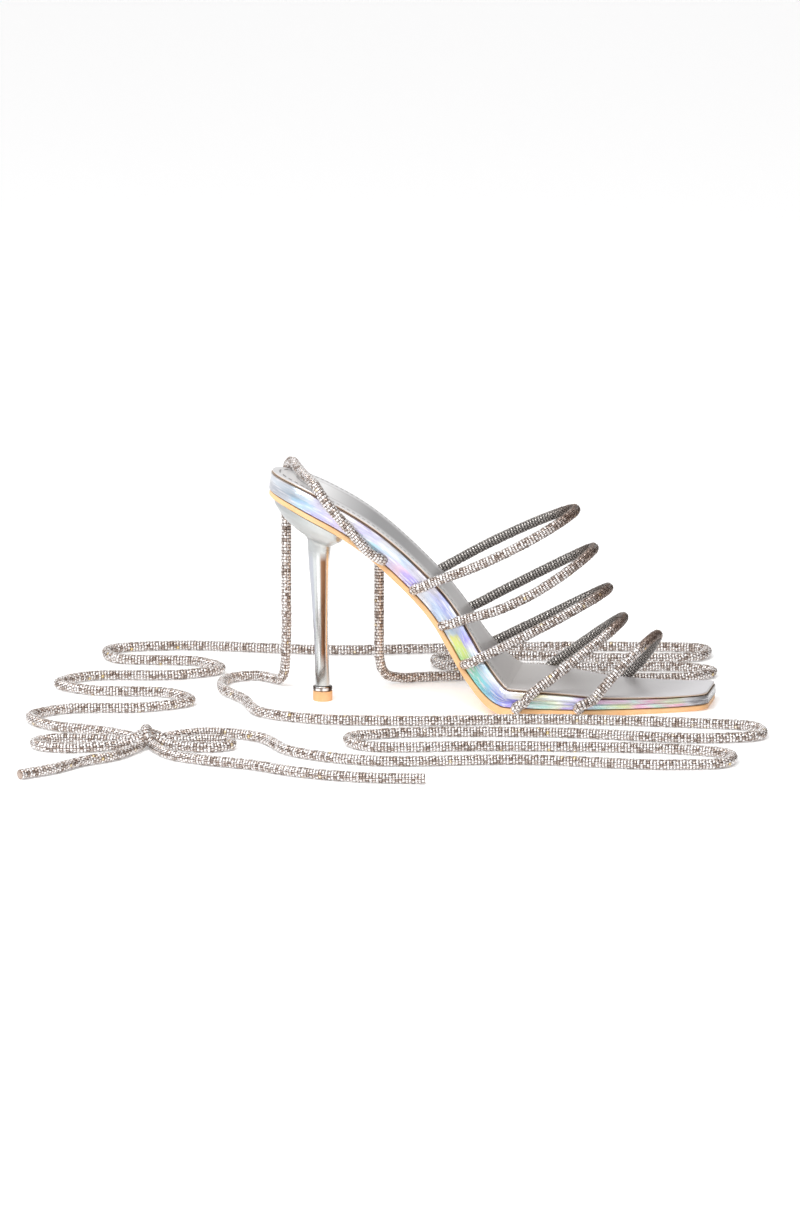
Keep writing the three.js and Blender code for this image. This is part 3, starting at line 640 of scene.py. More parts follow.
lined = add_node(
    tree, "ShaderNodeMix", {0: pad_edge.outputs[0], 6: foil.outputs[2], 7: srgb(0x8B8684)},
    data_type="RGBA",
)
stitched = add_node(
    tree, "ShaderNodeMix", {0: dark.outputs[0], 6: lined.outputs[2], 7: srgb(0x57524F)},
    data_type="RGBA",
)
top = add_node(tree, "ShaderNodeMapRange", {
    "Value": place.outputs["Y"], "From Min": 0.4, "From Max": 0.75,
})
cut_edge = add_node(
    tree, "ShaderNodeMix", {0: top.outputs[0], 6: srgb(0xD2B9A2), 7: stitched.outputs[2]},
    data_type="RGBA",
)
tree.links.new(cut_edge.outputs[2], shader.inputs["Base Color"])
position = add_node(tree, "ShaderNodeTexCoord").outputs["Object"]
grain = add_node(tree, "ShaderNodeTexNoise", {"Vector": position, "Scale": 900.0, "Detail": 3.0})
sunk = add_node(tree, "ShaderNodeMath", {
    0: groove.outputs[0], 1: -2.0, 2: grain.outputs["Fac"]}, operation="MULTIPLY_ADD")
relief = add_node(tree, "ShaderNodeBump", {
    "Height": sunk.outputs[0], "Strength": 0.25, "Distance": 0.15 * MM,
})
tree.links.new(relief.outputs["Normal"], shader.inputs["Normal"])
sock.data.materials.append(silver)


# HEEL
# A tall stiletto heel moulded of ABS, with a cup under the seat that runs into a slim stem.
# It is nickel plated and polished, and screwed to the seat from inside.
STEM_WIDTH = 7.2 * MM
CUP_INSET = 1.4 * MM
CUP_DEPTH = 12.3 * MM
RING_WIDTH = 9.6 * MM
RING_HEIGHT = 2.2 * MM
TIP_WIDTH = 9.6 * MM
TIP_HEIGHT = 4.8 * MM
HEEL_SIDES = 72
CUP_ROWS = 36
STEM_ROWS = 32
STEM_START = 1.12
STEM_SQUARE = 2.5
REAR_SQUARE = 2.2

# The cup by its drop below the seat as a share of its depth: reach back, forward and to each
# side as shares of the seat's half width, tilt, and how square it is in front
CUP = {
    "along": (-0.7, 0.28, 0.45, 0.69, 0.82, 0.9, 0.93, 0.96, 1.02),
    "back": (1.1, 1.1, 1.03, 0.9, 0.745, 0.59, 0.45, 0.345, 0.3),
    "front": (0.58, 0.48, 0.4, 0.29, 0.23, 0.195, 0.18, 0.178, 0.18),
    "side": (1.0, 0.99, 0.92, 0.75, 0.6, 0.47, 0.36, 0.29, 0.25),
    "tilt": (1.0, 1.0, 1.0, 1.0, 1.0, 0.97, 0.92, 0.75, 0.35),
    "breast": (5.0, 5.0, 4.5, 4.0, 3.5, 3.0, 2.8, 2.6, 2.6),
}

# The stem by its height as a share of its own, with reaches as shares of its width
STEM = {
    "along": (0.0, 0.16, 0.34, 0.52, 0.7, 0.88, 1.0),
    "back": (0.5, 0.53, 0.59, 0.69, 0.79, 0.93, 0.98),
    "front": (0.49, 0.44, 0.41, 0.43, 0.47, 0.51, 0.58),
    "side": (0.5, 0.51, 0.54, 0.59, 0.65, 0.72, 0.78),
}

seat = HEEL_AXIS / REACH
seat_up = upright(seat)
seat_tilt = math.atan2(seat_up.x, seat_up.z)
cup_side = edge_of(outer_share, seat) - CUP_INSET
stem_foot = TIP_HEIGHT + RING_HEIGHT + 2 * CLEARANCE
stem_top = underside(seat) - STEM_START * CUP_DEPTH
cup = {column: smooth_column(CUP, column) for column in CUP if column != "along"}
stem = {column: smooth_column(STEM, column) for column in STEM if column != "along"}

heel_rows = []
first_drop, last_drop = CUP["along"][0], CUP["along"][-1]
for step in range(CUP_ROWS + 1):
    drop = first_drop + (last_drop - first_drop) * (step / CUP_ROWS)
    heel_rows.append((
        underside(seat) - drop * CUP_DEPTH, seat_tilt * cup["tilt"](drop),
        cup["back"](drop) * cup_side, cup["front"](drop) * cup_side,
        cup["side"](drop) * cup_side, cup["breast"](drop),
    ))
for step in range(STEM_ROWS + 1):
    up = 1 - step / STEM_ROWS
    heel_rows.append((
        stem_foot + up * (stem_top - stem_foot), 0.0, stem["back"](up) * STEM_WIDTH,
        stem["front"](up) * STEM_WIDTH, stem["side"](up) * STEM_WIDTH, STEM_SQUARE,
    ))

mesh = bmesh.new()
bmesh.ops.create_grid(mesh, x_segments=len(heel_rows) - 1, y_segments=HEEL_SIDES, size=0.5)
for vert in mesh.verts:
    level, tilt, back, front, side, breast = heel_rows[
        round((vert.co.x + 0.5) * (len(heel_rows) - 1))
    ]
    a = 2 * math.pi * (vert.co.y + 0.5)
    square, reach = (breast, front) if math.cos(a) > 0 else (REAR_SQUARE, back)
    x = math.copysign(abs(math.cos(a)) ** (2 / square), math.cos(a)) * reach
    y = math.copysign(abs(math.sin(a)) ** (2 / square), math.sin(a)) * side
    place = Vector((x * math.cos(tilt), y, level - x * math.sin(tilt)))
    under = underside(max(0.0, (place.x + HEEL_AXIS) / REACH)) - CLEARANCE / seat_up.z
    place.z = min(place.z, under)
    vert.co = place
bmesh.ops.remove_doubles(mesh, verts=mesh.verts, dist=0.02 * MM)
open_edges = [joint for joint in mesh.edges if joint.is_boundary]
bmesh.ops.holes_fill(mesh, edges=open_edges, sides=0)
bmesh.ops.recalc_face_normals(mesh, faces=mesh.faces)
heel = finished("heel_plated", mesh, smooth_under=40)
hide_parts("heel")

# Nickel plate over polished ABS. Its colour is painted reflection, set by the way each side faces
# round the heel: on the stem soft upright bands, grey to the back, a white line that is a painted
# highlight, and bronze where it faces the sole, the painted reflection of a tan sole; on the cup
# and the stem's ends a milder painted reflection.
nickel, tree, shader = new_material("polished nickel plate", Metallic=1.0, Roughness=0.12)
spot = add_node(tree, "ShaderNodeTexCoord").outputs["Object"]
place = add_node(tree, "ShaderNodeSeparateXYZ", {0: spot})
ahead = add_node(tree, "ShaderNodeMath", {0: place.outputs["Y"], 1: -1.0}, operation="MULTIPLY")
turn = add_node(
    tree, "ShaderNodeMath", {0: place.outputs["X"], 1: ahead.outputs[0]}, operation="ARCTAN2"
)
around = add_node(tree, "ShaderNodeMapRange", {
    "Value": turn.outputs[0], "From Min": -math.pi, "From Max": math.pi,
})
# Painted reflection on the stem: grey to the back, a white painted highlight, bronze toward the
# sole.
painted_stem_reflection = add_node(tree, "ShaderNodeValToRGB", {0: around.outputs[0]}, stops=(
    (0.0, 0xC9CBCD), (0.3, 0xB4B6BD), (0.36, 0xB9BCC4), (0.38, 0xCDD0CF), (0.42, 0xC9CCCB),
    (0.432, 0xFFFFFF), (0.448, 0xF6F7F7), (0.46, 0xC8CAC7), (0.474, 0xC0BDB8), (0.482, 0x9C7860),
    (0.51, 0x855F45), (0.545, 0x7A553B), (0.56, 0xA88C79), (0.57, 0xEDECEB), (0.6, 0xFFFFFF),
    (0.75, 0xD9DADB), (1.0, 0xC9CBCD),
))
# Painted reflection on the cup and the stem's ends: lighter on the outer side, greyer to the back.
plain = add_node(tree, "ShaderNodeValToRGB", {0: around.outputs[0]}, stops=(
    (0.0, 0xBABCBD), (0.3, 0xB2B5B6), (0.42, 0xBDC0BF), (0.5, 0xCED0CE), (0.6, 0xC0C2C0),
    (0.75, 0xCDCDCD), (1.0, 0xBABCBD),
))
low_end = add_node(tree, "ShaderNodeMapRange", {
    "Value": place.outputs["Z"], "From Min": 14 * MM, "From Max": 24 * MM,
})
high_end = add_node(tree, "ShaderNodeMapRange", {
    "Value": place.outputs["Z"], "From Min": 70 * MM, "From Max": 75 * MM, "To Min": 1.0,
    "To Max": 0.0,
})
on_stem = add_node(
    tree, "ShaderNodeMath", {0: low_end.outputs[0], 1: high_end.outputs[0]}, operation="MULTIPLY"
)
plate = add_node(
    tree, "ShaderNodeMix",
    {0: on_stem.outputs[0], 6: plain.outputs["Color"], 7: painted_stem_reflection.outputs["Color"]},
    data_type="RGBA",
)
tree.links.new(plate.outputs[2], shader.inputs["Base Color"])
satin = add_node(tree, "ShaderNodeMapRange", {
    "Value": place.outputs["Z"], "From Min": 68 * MM, "From Max": 78 * MM, "To Min": 0.08,
    "To Max": 0.3,
})
smear = add_node(tree, "ShaderNodeTexNoise", {"Vector": spot, "Scale": 90.0, "Detail": 4.0})
dull = add_node(
    tree, "ShaderNodeMath", {0: smear.outputs["Fac"], 1: 0.1, 2: satin.outputs[0]},
    operation="MULTIPLY_ADD",
)
tree.links.new(dull.outputs[0], shader.inputs["Roughness"])
heel.data.materials.append(nickel)


# HEEL RING AND TIP
# A turned chrome ring closes the stem, and a nude TPU top piece is pinned into it.
RING_RIM = 0.5 * MM
TIP_RIM = 0.3 * MM


def turned(name, low, height, width, rim):
    """A short turned disc with rounded rims."""
    disc = bmesh.new()
    bmesh.ops.create_cone(
        disc, cap_ends=True, segments=HEEL_SIDES, radius1=width / 2, radius2=width / 2,
        depth=height,
    )
    bmesh.ops.translate(disc, verts=disc.verts, vec=(0, 0, low + height / 2))
    rims = [
        joint for joint in disc.edges
        if abs(joint.verts[0].co.z - joint.verts[1].co.z) < rim / 9
    ]
    bmesh.ops.bevel(
        disc, geom=rims, offset=rim, segments=4, affect="EDGES", profile=0.5, material=-1
    )
    return finished(name, disc, smooth_under=50)


ring = turned("heel_ring_turned", TIP_HEIGHT + CLEARANCE, RING_HEIGHT, RING_WIDTH, RING_RIM)
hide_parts("heel_ring")

# Chromed brass, turned bright, its colour a painted reflection: near black to both sides and white
# where it faces the room
chrome, tree, shader = new_material("turned chromed brass", Metallic=1.0, Roughness=0.06)
spot = add_node(tree, "ShaderNodeTexCoord").outputs["Object"]
place = add_node(tree, "ShaderNodeSeparateXYZ", {0: spot})
ahead = add_node(tree, "ShaderNodeMath", {0: place.outputs["Y"], 1: -1.0}, operation="MULTIPLY")
turn = add_node(
    tree, "ShaderNodeMath", {0: place.outputs["X"], 1: ahead.outputs[0]}, operation="ARCTAN2"
)
around = add_node(tree, "ShaderNodeMapRange", {
    "Value": turn.outputs[0], "From Min": -math.pi, "From Max": math.pi,
})
painted_ring_reflection = add_node(tree, "ShaderNodeValToRGB", {0: around.outputs[0]}, stops=(
    (0.0, 0x9A9694), (0.3, 0x3A302C), (0.36, 0x5A4B44), (0.4, 0xF4F4F4), (0.44, 0xFFFFFF),
    (0.48, 0x7A6A60), (0.53, 0xF8F6F4), (0.58, 0xD9D2CE), (0.62, 0x33261F), (0.7, 0x3A302C),
    (1.0, 0x9A9694),
))
tree.links.new(painted_ring_reflection.outputs["Color"], shader.inputs["Base Color"])
ring.data.materials.append(chrome)

tip = turned("heel_tip_moulded", 0.0, TIP_HEIGHT, TIP_WIDTH, TIP_RIM)
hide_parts("heel_tip")
tpu, tree, shader = new_material("moulded nude TPU", Roughness=0.5)
spot = add_node(tree, "ShaderNodeTexCoord").outputs["Object"]
cloud = add_node(tree, "ShaderNodeTexNoise", {"Vector": spot, "Scale": 150.0, "Detail": 3.0})
tone = add_node(
    tree, "ShaderNodeValToRGB", {0: cloud.outputs["Fac"]}, stops=((0.3, 0xE3AC74), (0.7, 0xF3C08C))
)
tree.links.new(tone.outputs["Color"], shader.inputs["Base Color"])
grain = add_node(tree, "ShaderNodeTexNoise", {"Vector": spot, "Scale": 1800.0})
relief = add_node(tree, "ShaderNodeBump", {
    "Height": grain.outputs["Fac"], "Strength": 0.2, "Distance": 0.1 * MM,
})
tree.links.new(relief.outputs["Normal"], shader.inputs["Normal"])
tip.data.materials.append(tpu)


# ROPE STRAPS
# Five ropes over the foot. Each is a mesh tube set with small silver-white stones in staggered
# rows, darker on the side of its loop that faces the loop's middle, tucked at both ends between
# band and outsole.
ROPE = 5 * MM
STONES_ROUND = 9
STONE_HEIGHT = 0.4 * MM
STONE_RIM = 0.4 * MM
STONE_PITCH = 1.52 * MM
STONE_TILT = 0.12
CROWN_REACH = 0.16
CURVE_STEP = 0.5 * MM
FLOOR_GAP = 0.1 * MM
POCKET_FLOOR = 0.9 * MM
BESIDE = ROPE / 2 + CLEARANCE + BAND_BULGE
TUCK_LEVEL = ROPE / 2 + CLEARANCE + POCKET_FLOOR
TUCK_DEPTH = 5 * MM
INSTEP_REACH = 74.5 * MM
ARCH_POINTS = 20
LOOP_CENTRE = 0.45

# A rope's way out of its pocket as shares of its width: how far past the rim, and how far up
# from the pocket's level. It ends beside the band, at a share of the band's height.
TURN = ((-0.24, 0.0), (0.18, 0.08))
TURN_BESIDE = {"short": 0.14, "up": 0.36}
LEG_START = {"up": 0.72, "height": 0.62}

# Where each strap crosses the rims and goes into the sole, as shares of the foot, its arch's
# lean in degrees, reach, squareness and spread, and how far each leg hangs, in rope widths
STRAPS = [
    {"outer": 0.327, "inner": 0.337, "tuck": 0.318, "lean": 25.9, "reach": 1.016,
     "square": 2.7, "spread": 1.22, "outer_hang": 0.5, "inner_hang": -0.3},
    {"outer": 0.387, "inner": 0.396, "tuck": 0.382, "lean": 27.6, "reach": 0.948,
     "square": 2.9, "spread": 1.12, "outer_hang": 1.0, "inner_hang": 0.0},
    {"outer": 0.439, "inner": 0.452, "tuck": 0.4347, "lean": 27.6, "reach": 0.888,
     "square": 2.4, "spread": 0.98, "outer_hang": 0.1, "inner_hang": 0.1},
    {"outer": 0.615, "inner": 0.615, "tuck": 0.58, "lean": 37.5, "reach": 0.678,
     "square": 2.3, "spread": 0.9, "outer_hang": 0.0, "inner_hang": 0.0},
    {"outer": 0.753, "inner": 0.787, "tuck": 0.721, "lean": 50.0, "reach": 0.466,
     "square": 2.3, "spread": 0.9, "outer_hang": -0.1, "inner_hang": 0.3},
]


def tuck_points(side, tuck, rim):
    """A rope's end from its pocket under the band up to the rim, on one side of the sole."""
    share = outer_share if side < 0 else inner_share
    halfway = (tuck + rim) / 2
    leg_start = max(band_top(rim) * LEG_START["height"], TUCK_LEVEL + LEG_START["up"] * ROPE)
    edge, middle_edge = edge_of(share, tuck), edge_of(share, halfway)
    beside = edge + BESIDE - TURN_BESIDE["short"] * ROPE
    return [
        on_last(tuck, side * (edge - TUCK_DEPTH), TUCK_LEVEL),
        *(on_last(tuck, side * (edge + past * ROPE), TUCK_LEVEL + up * ROPE)
          for past, up in TURN),
        on_last(tuck, side * beside, TUCK_LEVEL + TURN_BESIDE["up"] * ROPE),
        on_last(halfway, side * (middle_edge + BESIDE), leg_start),
    ]


def strap_route(outer, inner, tuck, lean, reach, square, spread, outer_hang, inner_hang):
    """A strap's points, up from the outer pocket, over the foot in a squared arch and down
    again, and the middle of its loop."""
    near_rim = on_last(outer, -(edge_of(outer_share, outer) + BESIDE), band_top(outer))
    far_rim = on_last(inner, edge_of(inner_share, inner) + BESIDE, band_top(inner))
    middle, half_span = (near_rim + far_rim) / 2, (far_rim - near_rim) / 2
    angle = math.radians(lean)
    upward = Vector((math.cos(angle), 0, math.sin(angle))) * INSTEP_REACH * reach
    arch = []
    for i in range(ARCH_POINTS + 1):
        a = math.pi * i / ARCH_POINTS
        sideways = -math.copysign(abs(math.cos(a)) ** (2 / square), math.cos(a))
        height = max(0.0, math.sin(a)) ** (2 / square)
        hang = ROPE * (outer_hang if sideways < 0 else inner_hang)
        point = middle + half_span * sideways * (1 + (spread - 1) * height) + upward * height
        point.z -= 4 * hang * height * (1 - height)
        arch.append(point)
    points = [
        *tuck_points(-1, tuck, outer), *arch,
        *reversed(tuck_points(1, tuck + inner - outer, inner)),
    ]
    return points, middle + upward * LOOP_CENTRE


def evenly(route, pitch):
    """Points at an even pitch on the centripetal curve through a route's points."""
    ends = [2 * route[0] - route[1], *route, 2 * route[-1] - route[-2]]
    dense = []
    for p0, p1, p2, p3 in zip(ends, ends[1:], ends[2:], ends[3:]):
        t1 = (p1 - p0).length ** 0.5
        t2 = t1 + (p2 - p1).length ** 0.5
        t3 = t2 + (p3 - p2).length ** 0.5
        steps = max(2, round((p2 - p1).length / CURVE_STEP))
        for step in range(steps):
            t = t1 + (t2 - t1) * step / steps
            a1 = p0.lerp(p1, t / t1)
            a2 = p1.lerp(p2, (t - t1) / (t2 - t1))
            a3 = p2.lerp(p3, (t - t2) / (t3 - t2))
            b1 = a1.lerp(a2, t / t2)
            b2 = a2.lerp(a3, (t - t1) / (t3 - t1))
            dense.append(b1.lerp(b2, (t - t1) / (t2 - t1)))
    dense.append(route[-1])
    lengths = [0.0]
    for a, b in zip(dense, dense[1:]):
        lengths.append(lengths[-1] + (b - a).length)
    count = max(2, round(lengths[-1] / pitch))
    points, i = [], 0
    for step in range(count + 1):
        goal = lengths[-1] * step / count
        while i < len(dense) - 2 and lengths[i + 1] < goal:
            i += 1
        share = (goal - lengths[i]) / (lengths[i + 1] - lengths[i])
        points.append(dense[i].lerp(dense[i + 1], share))
    return points


def add_stone_rope(mesh, route, dark_centre=None):
    """Adds a rope set with stones to a bmesh and returns its centreline. The tube's grid turns
    into staggered six-sided cells, and each is inset, raised and tilted into a stone. Its UV map
    "stone" holds a random share and the height, and "side" how far it faces out of the loop and
    how near it lies to the loop's crown."""
    line = evenly(route, STONE_PITCH)
    for point in line:
        point.z = max(point.z, ROPE / 2 + FLOOR_GAP)
    rows, columns = len(line) - 1, 2 * STONES_ROUND
    tangents = [
        (line[min(i + 1, rows)] - line[max(i - 1, 0)]).normalized() for i in range(rows + 1)
    ]
    side = tangents[0].cross(Vector((0, 0, 1)))
    side = side.normalized() if side.length > 0.1 else Vector((0, 1, 0))
    frames = []
    for tangent in tangents:
        side = (side - tangent * side.dot(tangent)).normalized()
        frames.append((side, tangent.cross(side)))
    tube = bmesh.new()
    bmesh.ops.create_grid(tube, x_segments=rows, y_segments=columns, size=0.5)
    look = tube.loops.layers.uv.new("stone")
    facing = tube.loops.layers.uv.new("side")
    radius, pitch = ROPE / 2 - STONE_HEIGHT, (line[1] - line[0]).length
    spots = {}
    for vert in tube.verts:
        row = round((vert.co.x + 0.5) * rows)
        column = round((vert.co.y + 0.5) * columns)
        a = 2 * math.pi * column / columns
        outward = frames[row][0] * math.cos(a) + frames[row][1] * math.sin(a)
        stagger = 0.0 if row in (0, rows) else pitch / 6 * (1 if (row + column) % 2 else -1)
        faces_out, crown = 1.0, 0.0
        if dark_centre:
            faces_out = 0.5 + 0.5 * outward.dot((line[row] - dark_centre).normalized())
            crown = max(0.0, 1 - abs(row / rows - 0.5) / CROWN_REACH)
        spots[vert] = (row, column, faces_out, crown)
        vert.co = line[row] + outward * radius + tangents[row] * stagger
    staggered = []
    for joint in tube.edges:
        (row, column), (next_row, next_column) = (spots[vert][:2] for vert in joint.verts)
        if column == next_column and 0 < column < columns and (min(row, next_row) + column) % 2:
            staggered.append(joint)
    for face in tube.faces:
        for loop in face.loops:
            loop[facing].uv = spots[loop.vert][2:]
    seam = [vert for vert in tube.verts if spots[vert][1] in (0, columns)]
    bmesh.ops.dissolve_edges(tube, edges=staggered, use_verts=False)
    bmesh.ops.remove_doubles(tube, verts=seam, dist=0.001 * MM)
    stones = list(tube.faces)
    if (stones[0].calc_center_median() - line[0]).dot(stones[0].normal) < 0:
        bmesh.ops.reverse_faces(tube, faces=stones)
    bmesh.ops.inset_individual(
        tube, faces=stones, thickness=STONE_RIM, depth=STONE_HEIGHT, use_interpolate=True
    )
    raised = {corner for stone in stones for corner in stone.verts}
    chance = random.Random(rows)
    for stone in stones:
        centre, normal = stone.calc_center_median(), stone.normal.copy()
        lean = Vector([chance.gauss(0, STONE_TILT) for _ in range(3)])
        for corner in stone.verts:
            corner.co += normal * (corner.co - centre).dot(lean)
        shade = chance.random()
        for loop in stone.loops:
            loop[look].uv = (shade, 1.0)
            for wall in (face for face in loop.edge.link_faces if face is not stone):
                for other in wall.loops:
                    other[look].uv = (shade, 1.0 if other.vert in raised else 0.0)
    open_edges = [joint for joint in tube.edges if joint.is_boundary]
    for cap in bmesh.ops.holes_fill(tube, edges=open_edges, sides=0)["faces"]:
        for loop in cap.loops:
            loop[look].uv, loop[facing].uv = (0.2, 0.62), (1.0, 0.0)
    bmesh.ops.recalc_face_normals(tube, faces=tube.faces)
    data = bpy.data.meshes.new("length of rope")
    tube.to_mesh(data)
    tube.free()
    mesh.from_mesh(data)
    bpy.data.meshes.remove(data)
    return line


# Glass stones, foiled silver, in bronze cups on a mesh tube: white glints and copper between them,
# near black at the stones' feet as painted shade, now and then a gold flash. On the side of a loop
# that faces its middle the rope is gunmetal, and near a loop's crown painted shade darkens the
# stones.
crystal, tree, shader = new_material("foiled glass stones", Metallic=0.5, Roughness=0.14)
spot = add_node(tree, "ShaderNodeUVMap", uv_map="stone").outputs["UV"]
part = add_node(tree, "ShaderNodeSeparateXYZ", {0: spot})
glass = add_node(tree, "ShaderNodeValToRGB", {0: part.outputs["X"]}, stops=(
    (0.0, 0x9C8E85), (0.2, 0xCFC5BE), (0.45, 0xFBF9F8), (0.985, 0xFFFFFF), (1.0, 0xF5DDA0),
))
# Up each stone: near black at its foot as painted shade in the gaps, then the copper of its cup
# and the white of its table.
height = add_node(tree, "ShaderNodeValToRGB", {0: part.outputs["Y"]}, stops=(
    (0.0, 0x22140C), (0.4, 0x6E4A34), (0.56, 0xCFB9AA), (0.76, 0xFFFFFF),
))
bright = add_node(
    tree, "ShaderNodeMix",
    {0: 1.0, 6: glass.outputs["Color"], 7: height.outputs["Color"]},
    data_type="RGBA", blend_type="MULTIPLY",
)
# Darker gunmetal tone for the side of a loop that faces its middle, near black at the stones' feet
# as painted shade.
inner_side_tone = add_node(tree, "ShaderNodeValToRGB", {0: part.outputs["Y"]}, stops=(
    (0.0, 0x080606), (0.45, 0x1C1817), (0.72, 0x8C8783), (0.95, 0xB9B4AF),
))
turned_out = add_node(tree, "ShaderNodeUVMap", uv_map="side").outputs["UV"]
out = add_node(tree, "ShaderNodeSeparateXYZ", {0: turned_out})
shown = add_node(tree, "ShaderNodeMapRange", {
    "Value": out.outputs["X"], "From Min": 0.36, "From Max": 0.56,
})
rope_colour = add_node(
    tree, "ShaderNodeMix",
    {0: shown.outputs[0], 6: inner_side_tone.outputs["Color"], 7: bright.outputs[2]},
    data_type="RGBA",
)
# Painted shade: stones darker the nearer they lie to a loop's crown.
painted_crown_shade = add_node(tree, "ShaderNodeValToRGB", {0: out.outputs["Y"]}, stops=(
    (0.1, 0xFFFFFF), (0.55, 0xAE9E94), (0.9, 0x7E6C61),
))
crown_shaded = add_node(
    tree, "ShaderNodeMix",
    {0: 1.0, 6: rope_colour.outputs[2], 7: painted_crown_shade.outputs["Color"]},
    data_type="RGBA", blend_type="MULTIPLY",
)
tree.links.new(crown_shaded.outputs[2], shader.inputs["Base Color"])


def finished_rope(name, mesh, node):
    """A rope's object, each stone rounded in its shading and sharp only round its foot."""
    look = mesh.loops.layers.uv["stone"]
    for face in mesh.faces:
        face.smooth = True
        for loop in face.loops:
            low = loop[look].uv.y < 0.5 and loop.link_loop_next[look].uv.y < 0.5
            loop.edge.smooth = not low
    data = bpy.data.meshes.new(name)
    mesh.to_mesh(data)
    mesh.free()
    piece = bpy.data.objects.new(name, data)
    bpy.context.scene.collection.objects.link(piece)
    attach(piece, "root")
    piece.data.materials.append(crystal)
    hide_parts(node)
    return piece


for number, strap in enumerate(STRAPS, start=1):
    mesh = bmesh.new()
    route, centre = strap_route(**strap)
    add_stone_rope(mesh, route, centre)
    finished_rope(f"strap_{number}_rope", mesh, f"strap_{number}")


# KNOT
# The bow's knot: the eight rope ends that meet in it join as four low arches, and one turn of
# rope goes round their middle.
KNOT_PLACE = Vector((-78, -112, 0)) * MM
KNOT_WIDTH = 18 * MM
KNOT_HEIGHT = 11 * MM
KNOT_REACH = 9.1 * MM
KNOT_TURN_STEPS = 16
KNOT_TURN_SWAY = 1.2 * MM
LAID = ROPE / 2 + FLOOR_GAP

# Each arch by the angles at which it comes in and goes out, and how high its middle rises
KNOT_ARCHES = (
    (170, 10, 3.08 * MM), (210, 330, 2.52 * MM), (130, 290, 4.2 * MM), (50, 250, 3.64 * MM),
)

mesh = bmesh.new()
for start, end, crown in KNOT_ARCHES:
    first, last = (
        KNOT_PLACE + Vector((math.cos(math.radians(a)), math.sin(math.radians(a)), 0)) * KNOT_REACH
        for a in (start, end)
    )
    arch = []
    for share in (0.0, 0.2, 0.5, 0.8, 1.0):
        point = first.lerp(last, share)
        point.z = LAID + crown * math.sin(math.pi * share)
        arch.append(point)
    add_stone_rope(mesh, arch)
half = KNOT_WIDTH / 2 - ROPE / 2 - CLEARANCE
rise = KNOT_HEIGHT / 2 - LAID
wrap = []
for step in range(KNOT_TURN_STEPS + 1):
    a = 2 * math.pi * step / KNOT_TURN_STEPS
    wrap.append(KNOT_PLACE + Vector((
        KNOT_TURN_SWAY * math.cos(a), half * math.sin(a), KNOT_HEIGHT / 2 - rise * math.cos(a),
    )))
add_stone_rope(mesh, wrap)
knot = finished_rope("bow_knot_tied", mesh, "bow_knot")


# TIES AND BOW
# Two ropes from pockets at the seat, unwound and laid on the floor, limp. The outer one comes
# up over the rim and across the seat first. They end in the bow's knot, with loops and tails.
TIE_TUCK = 0.249

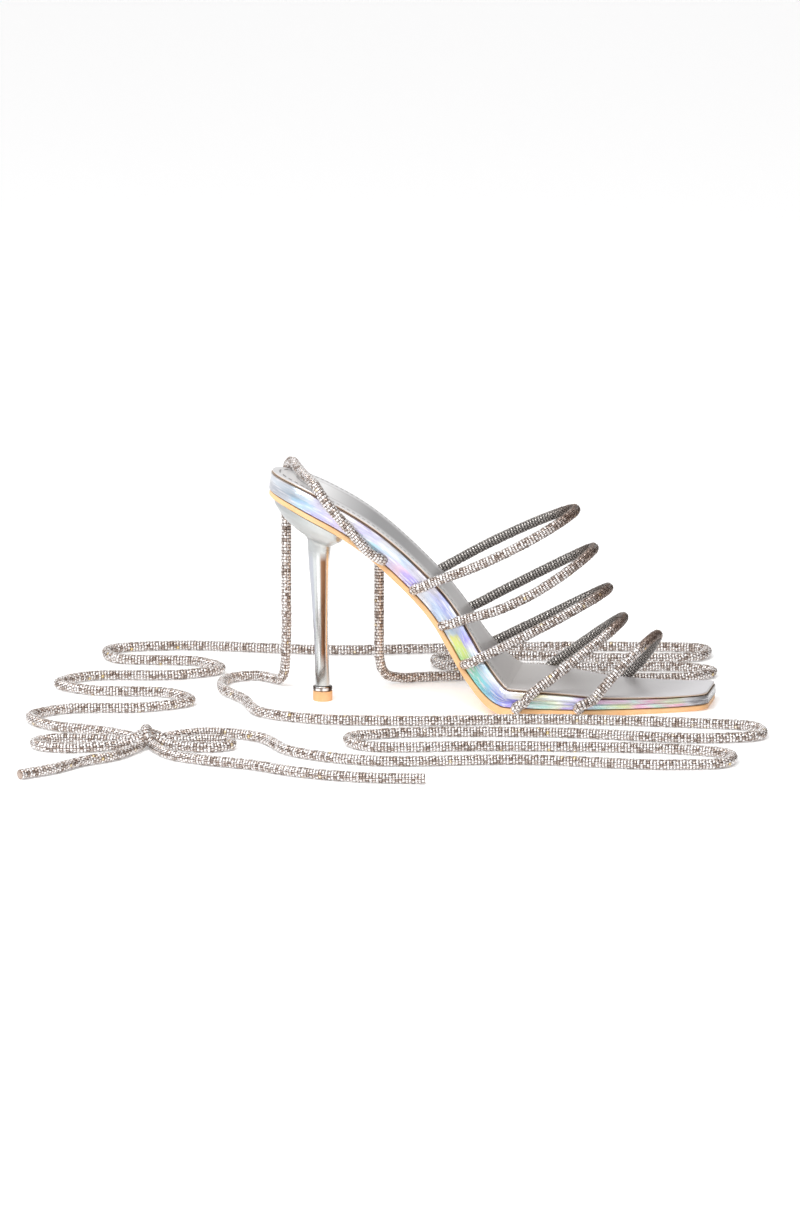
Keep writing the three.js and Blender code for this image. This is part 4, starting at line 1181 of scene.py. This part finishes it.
# Their routes after the pockets as X, Y and Z in millimetres, and those of the bow
TIE_ROUTES = {
    "tie_outer": (
        (24, -27.8, 79), (14, -29.6, 91), (6, -29.8, 100.5), (1.2, -28.4, 106.6),
        (-2.2, -24, 110.8), (-5, -17, 112.4), (-8.5, -7, 113.4), (-12, 4, 114.8),
        (-15, 13.5, 116.4), (-17.2, 20.2, 114.5), (-18.4, 23.3, 109), (-18.8, 24, 98),
        (-19, 24.4, 60), (-19.3, 25.4, 22), (-20.5, 28.5, 8), (-24, 37, 2.6), (-36, 46, 2.6),
        (-49, 38, 2.6), (-50, 14, 2.6), (-38, -12, 2.6), (-28, -42, 2.6), (-2, -57, 2.6),
        (50, -60, 2.6), (110, -54, 2.6), (186, -61, 2.6), (211, -68, 2.6), (213, -87, 2.6),
        (186, -95, 2.6), (110, -84, 2.6), (36, -89, 2.6), (17, -100, 2.6), (25, -118, 2.6),
        (90, -116, 2.6), (176, -121, 2.6), (198, -131, 2.6), (196, -149, 2.6),
        (168, -155, 2.6), (100, -146, 2.6), (30, -151, 2.6), (-8, -132, 2.6),
        (-26, -100, 2.6), (-50, -90, 2.6), (-66.4, -98.2, 2.6), (-72.1, -105, 2.6),
    ),
    "tie_inner": (
        (26.4, 29, 73.2), (26.5, 32, 67.5), (26.5, 33, 56), (26.5, 33.2, 30), (26.8, 34.3, 13),
        (29.5, 37, 5.8), (37, 41.5, 2.95), (52, 46.5, 2.6), (90, 52, 2.6), (150, 47, 2.6),
        (182, 51, 2.6), (192, 64, 2.6), (176, 75, 2.6), (100, 71, 2.6), (57, 76, 2.6),
        (54, 94, 2.6), (90, 101, 2.6), (150, 96, 2.6), (186, 103, 2.6), (188, 121, 2.6),
        (150, 126, 2.6), (80, 122, 2.6), (0, 112, 2.6), (-80, 121, 2.6), (-113, 109, 2.6),
        (-108, 87, 2.6), (-66, 80, 2.6), (-54, 62, 2.6), (-74, 47, 2.6), (-118, 42, 2.6),
        (-132, 24, 2.6), (-116, 8, 2.6), (-76, 2, 2.6), (-64, -16, 2.6), (-84, -32, 2.6),
        (-124, -38, 2.6), (-139, -56, 2.6), (-128, -76, 2.6), (-104, -88, 2.6),
        (-89.6, -98.2, 2.6), (-83.9, -105, 2.6),
    ),
}
BOW_ROUTES = {
    "bow_loop_1": (
        (-87.1, -110.4, 2.6), (-95.7, -108.9, 2.6), (-109.5, -106.4, 2.6),
        (-123.7, -107.2, 2.6), (-131.9, -115.8, 2.6), (-126.3, -124.9, 2.6),
        (-110.6, -127.2, 2.6), (-93.6, -121, 2.6), (-86, -116.6, 2.6),
    ),
    "bow_loop_2": (
        (-68.9, -110.4, 2.6), (-60.3, -108.9, 2.6), (-49.6, -106, 2.6), (-40.1, -109.3, 2.6),
        (-38.6, -118.9, 2.6), (-48.5, -124.5, 2.6), (-62.4, -121, 2.6), (-70, -116.6, 2.6),
    ),
    "bow_tail_1": (
        (-81.1, -120.6, 2.6), (-84.2, -128.9, 2.6), (-92.6, -144.9, 2.6),
        (-106.6, -157.8, 2.6), (-118.3, -174.1, 2.6), (-132.7, -187.2, 2.6),
    ),
    "bow_tail_2": (
        (-74.9, -120.6, 2.6), (-71.8, -128.9, 2.6), (-65, -141.2, 2.6), (-48.6, -152.5, 2.6),
        (-26.2, -162, 2.6), (-2.5, -177.6, 2.6), (25.6, -187.2, 2.6), (56.2, -189.5, 2.6),
    ),
}


def free_rope(node, route):
    """A tie or a piece of the bow as a rope set with stones, in place of its part from the model.
    """
    mesh = bmesh.new()
    line = add_stone_rope(mesh, route)
    piece = finished_rope(f"{node}_rope", mesh, node)


for node, points in TIE_ROUTES.items():
    pocket = tuck_points(-1 if node == "tie_outer" else 1, TIE_TUCK, TIE_TUCK)[:3]
    route = [*pocket, *(Vector(point) * MM for point in points)]
    free_rope(node, route)

for node, points in BOW_ROUTES.items():
    route = [Vector(point) * MM for point in points]
    free_rope(node, route)
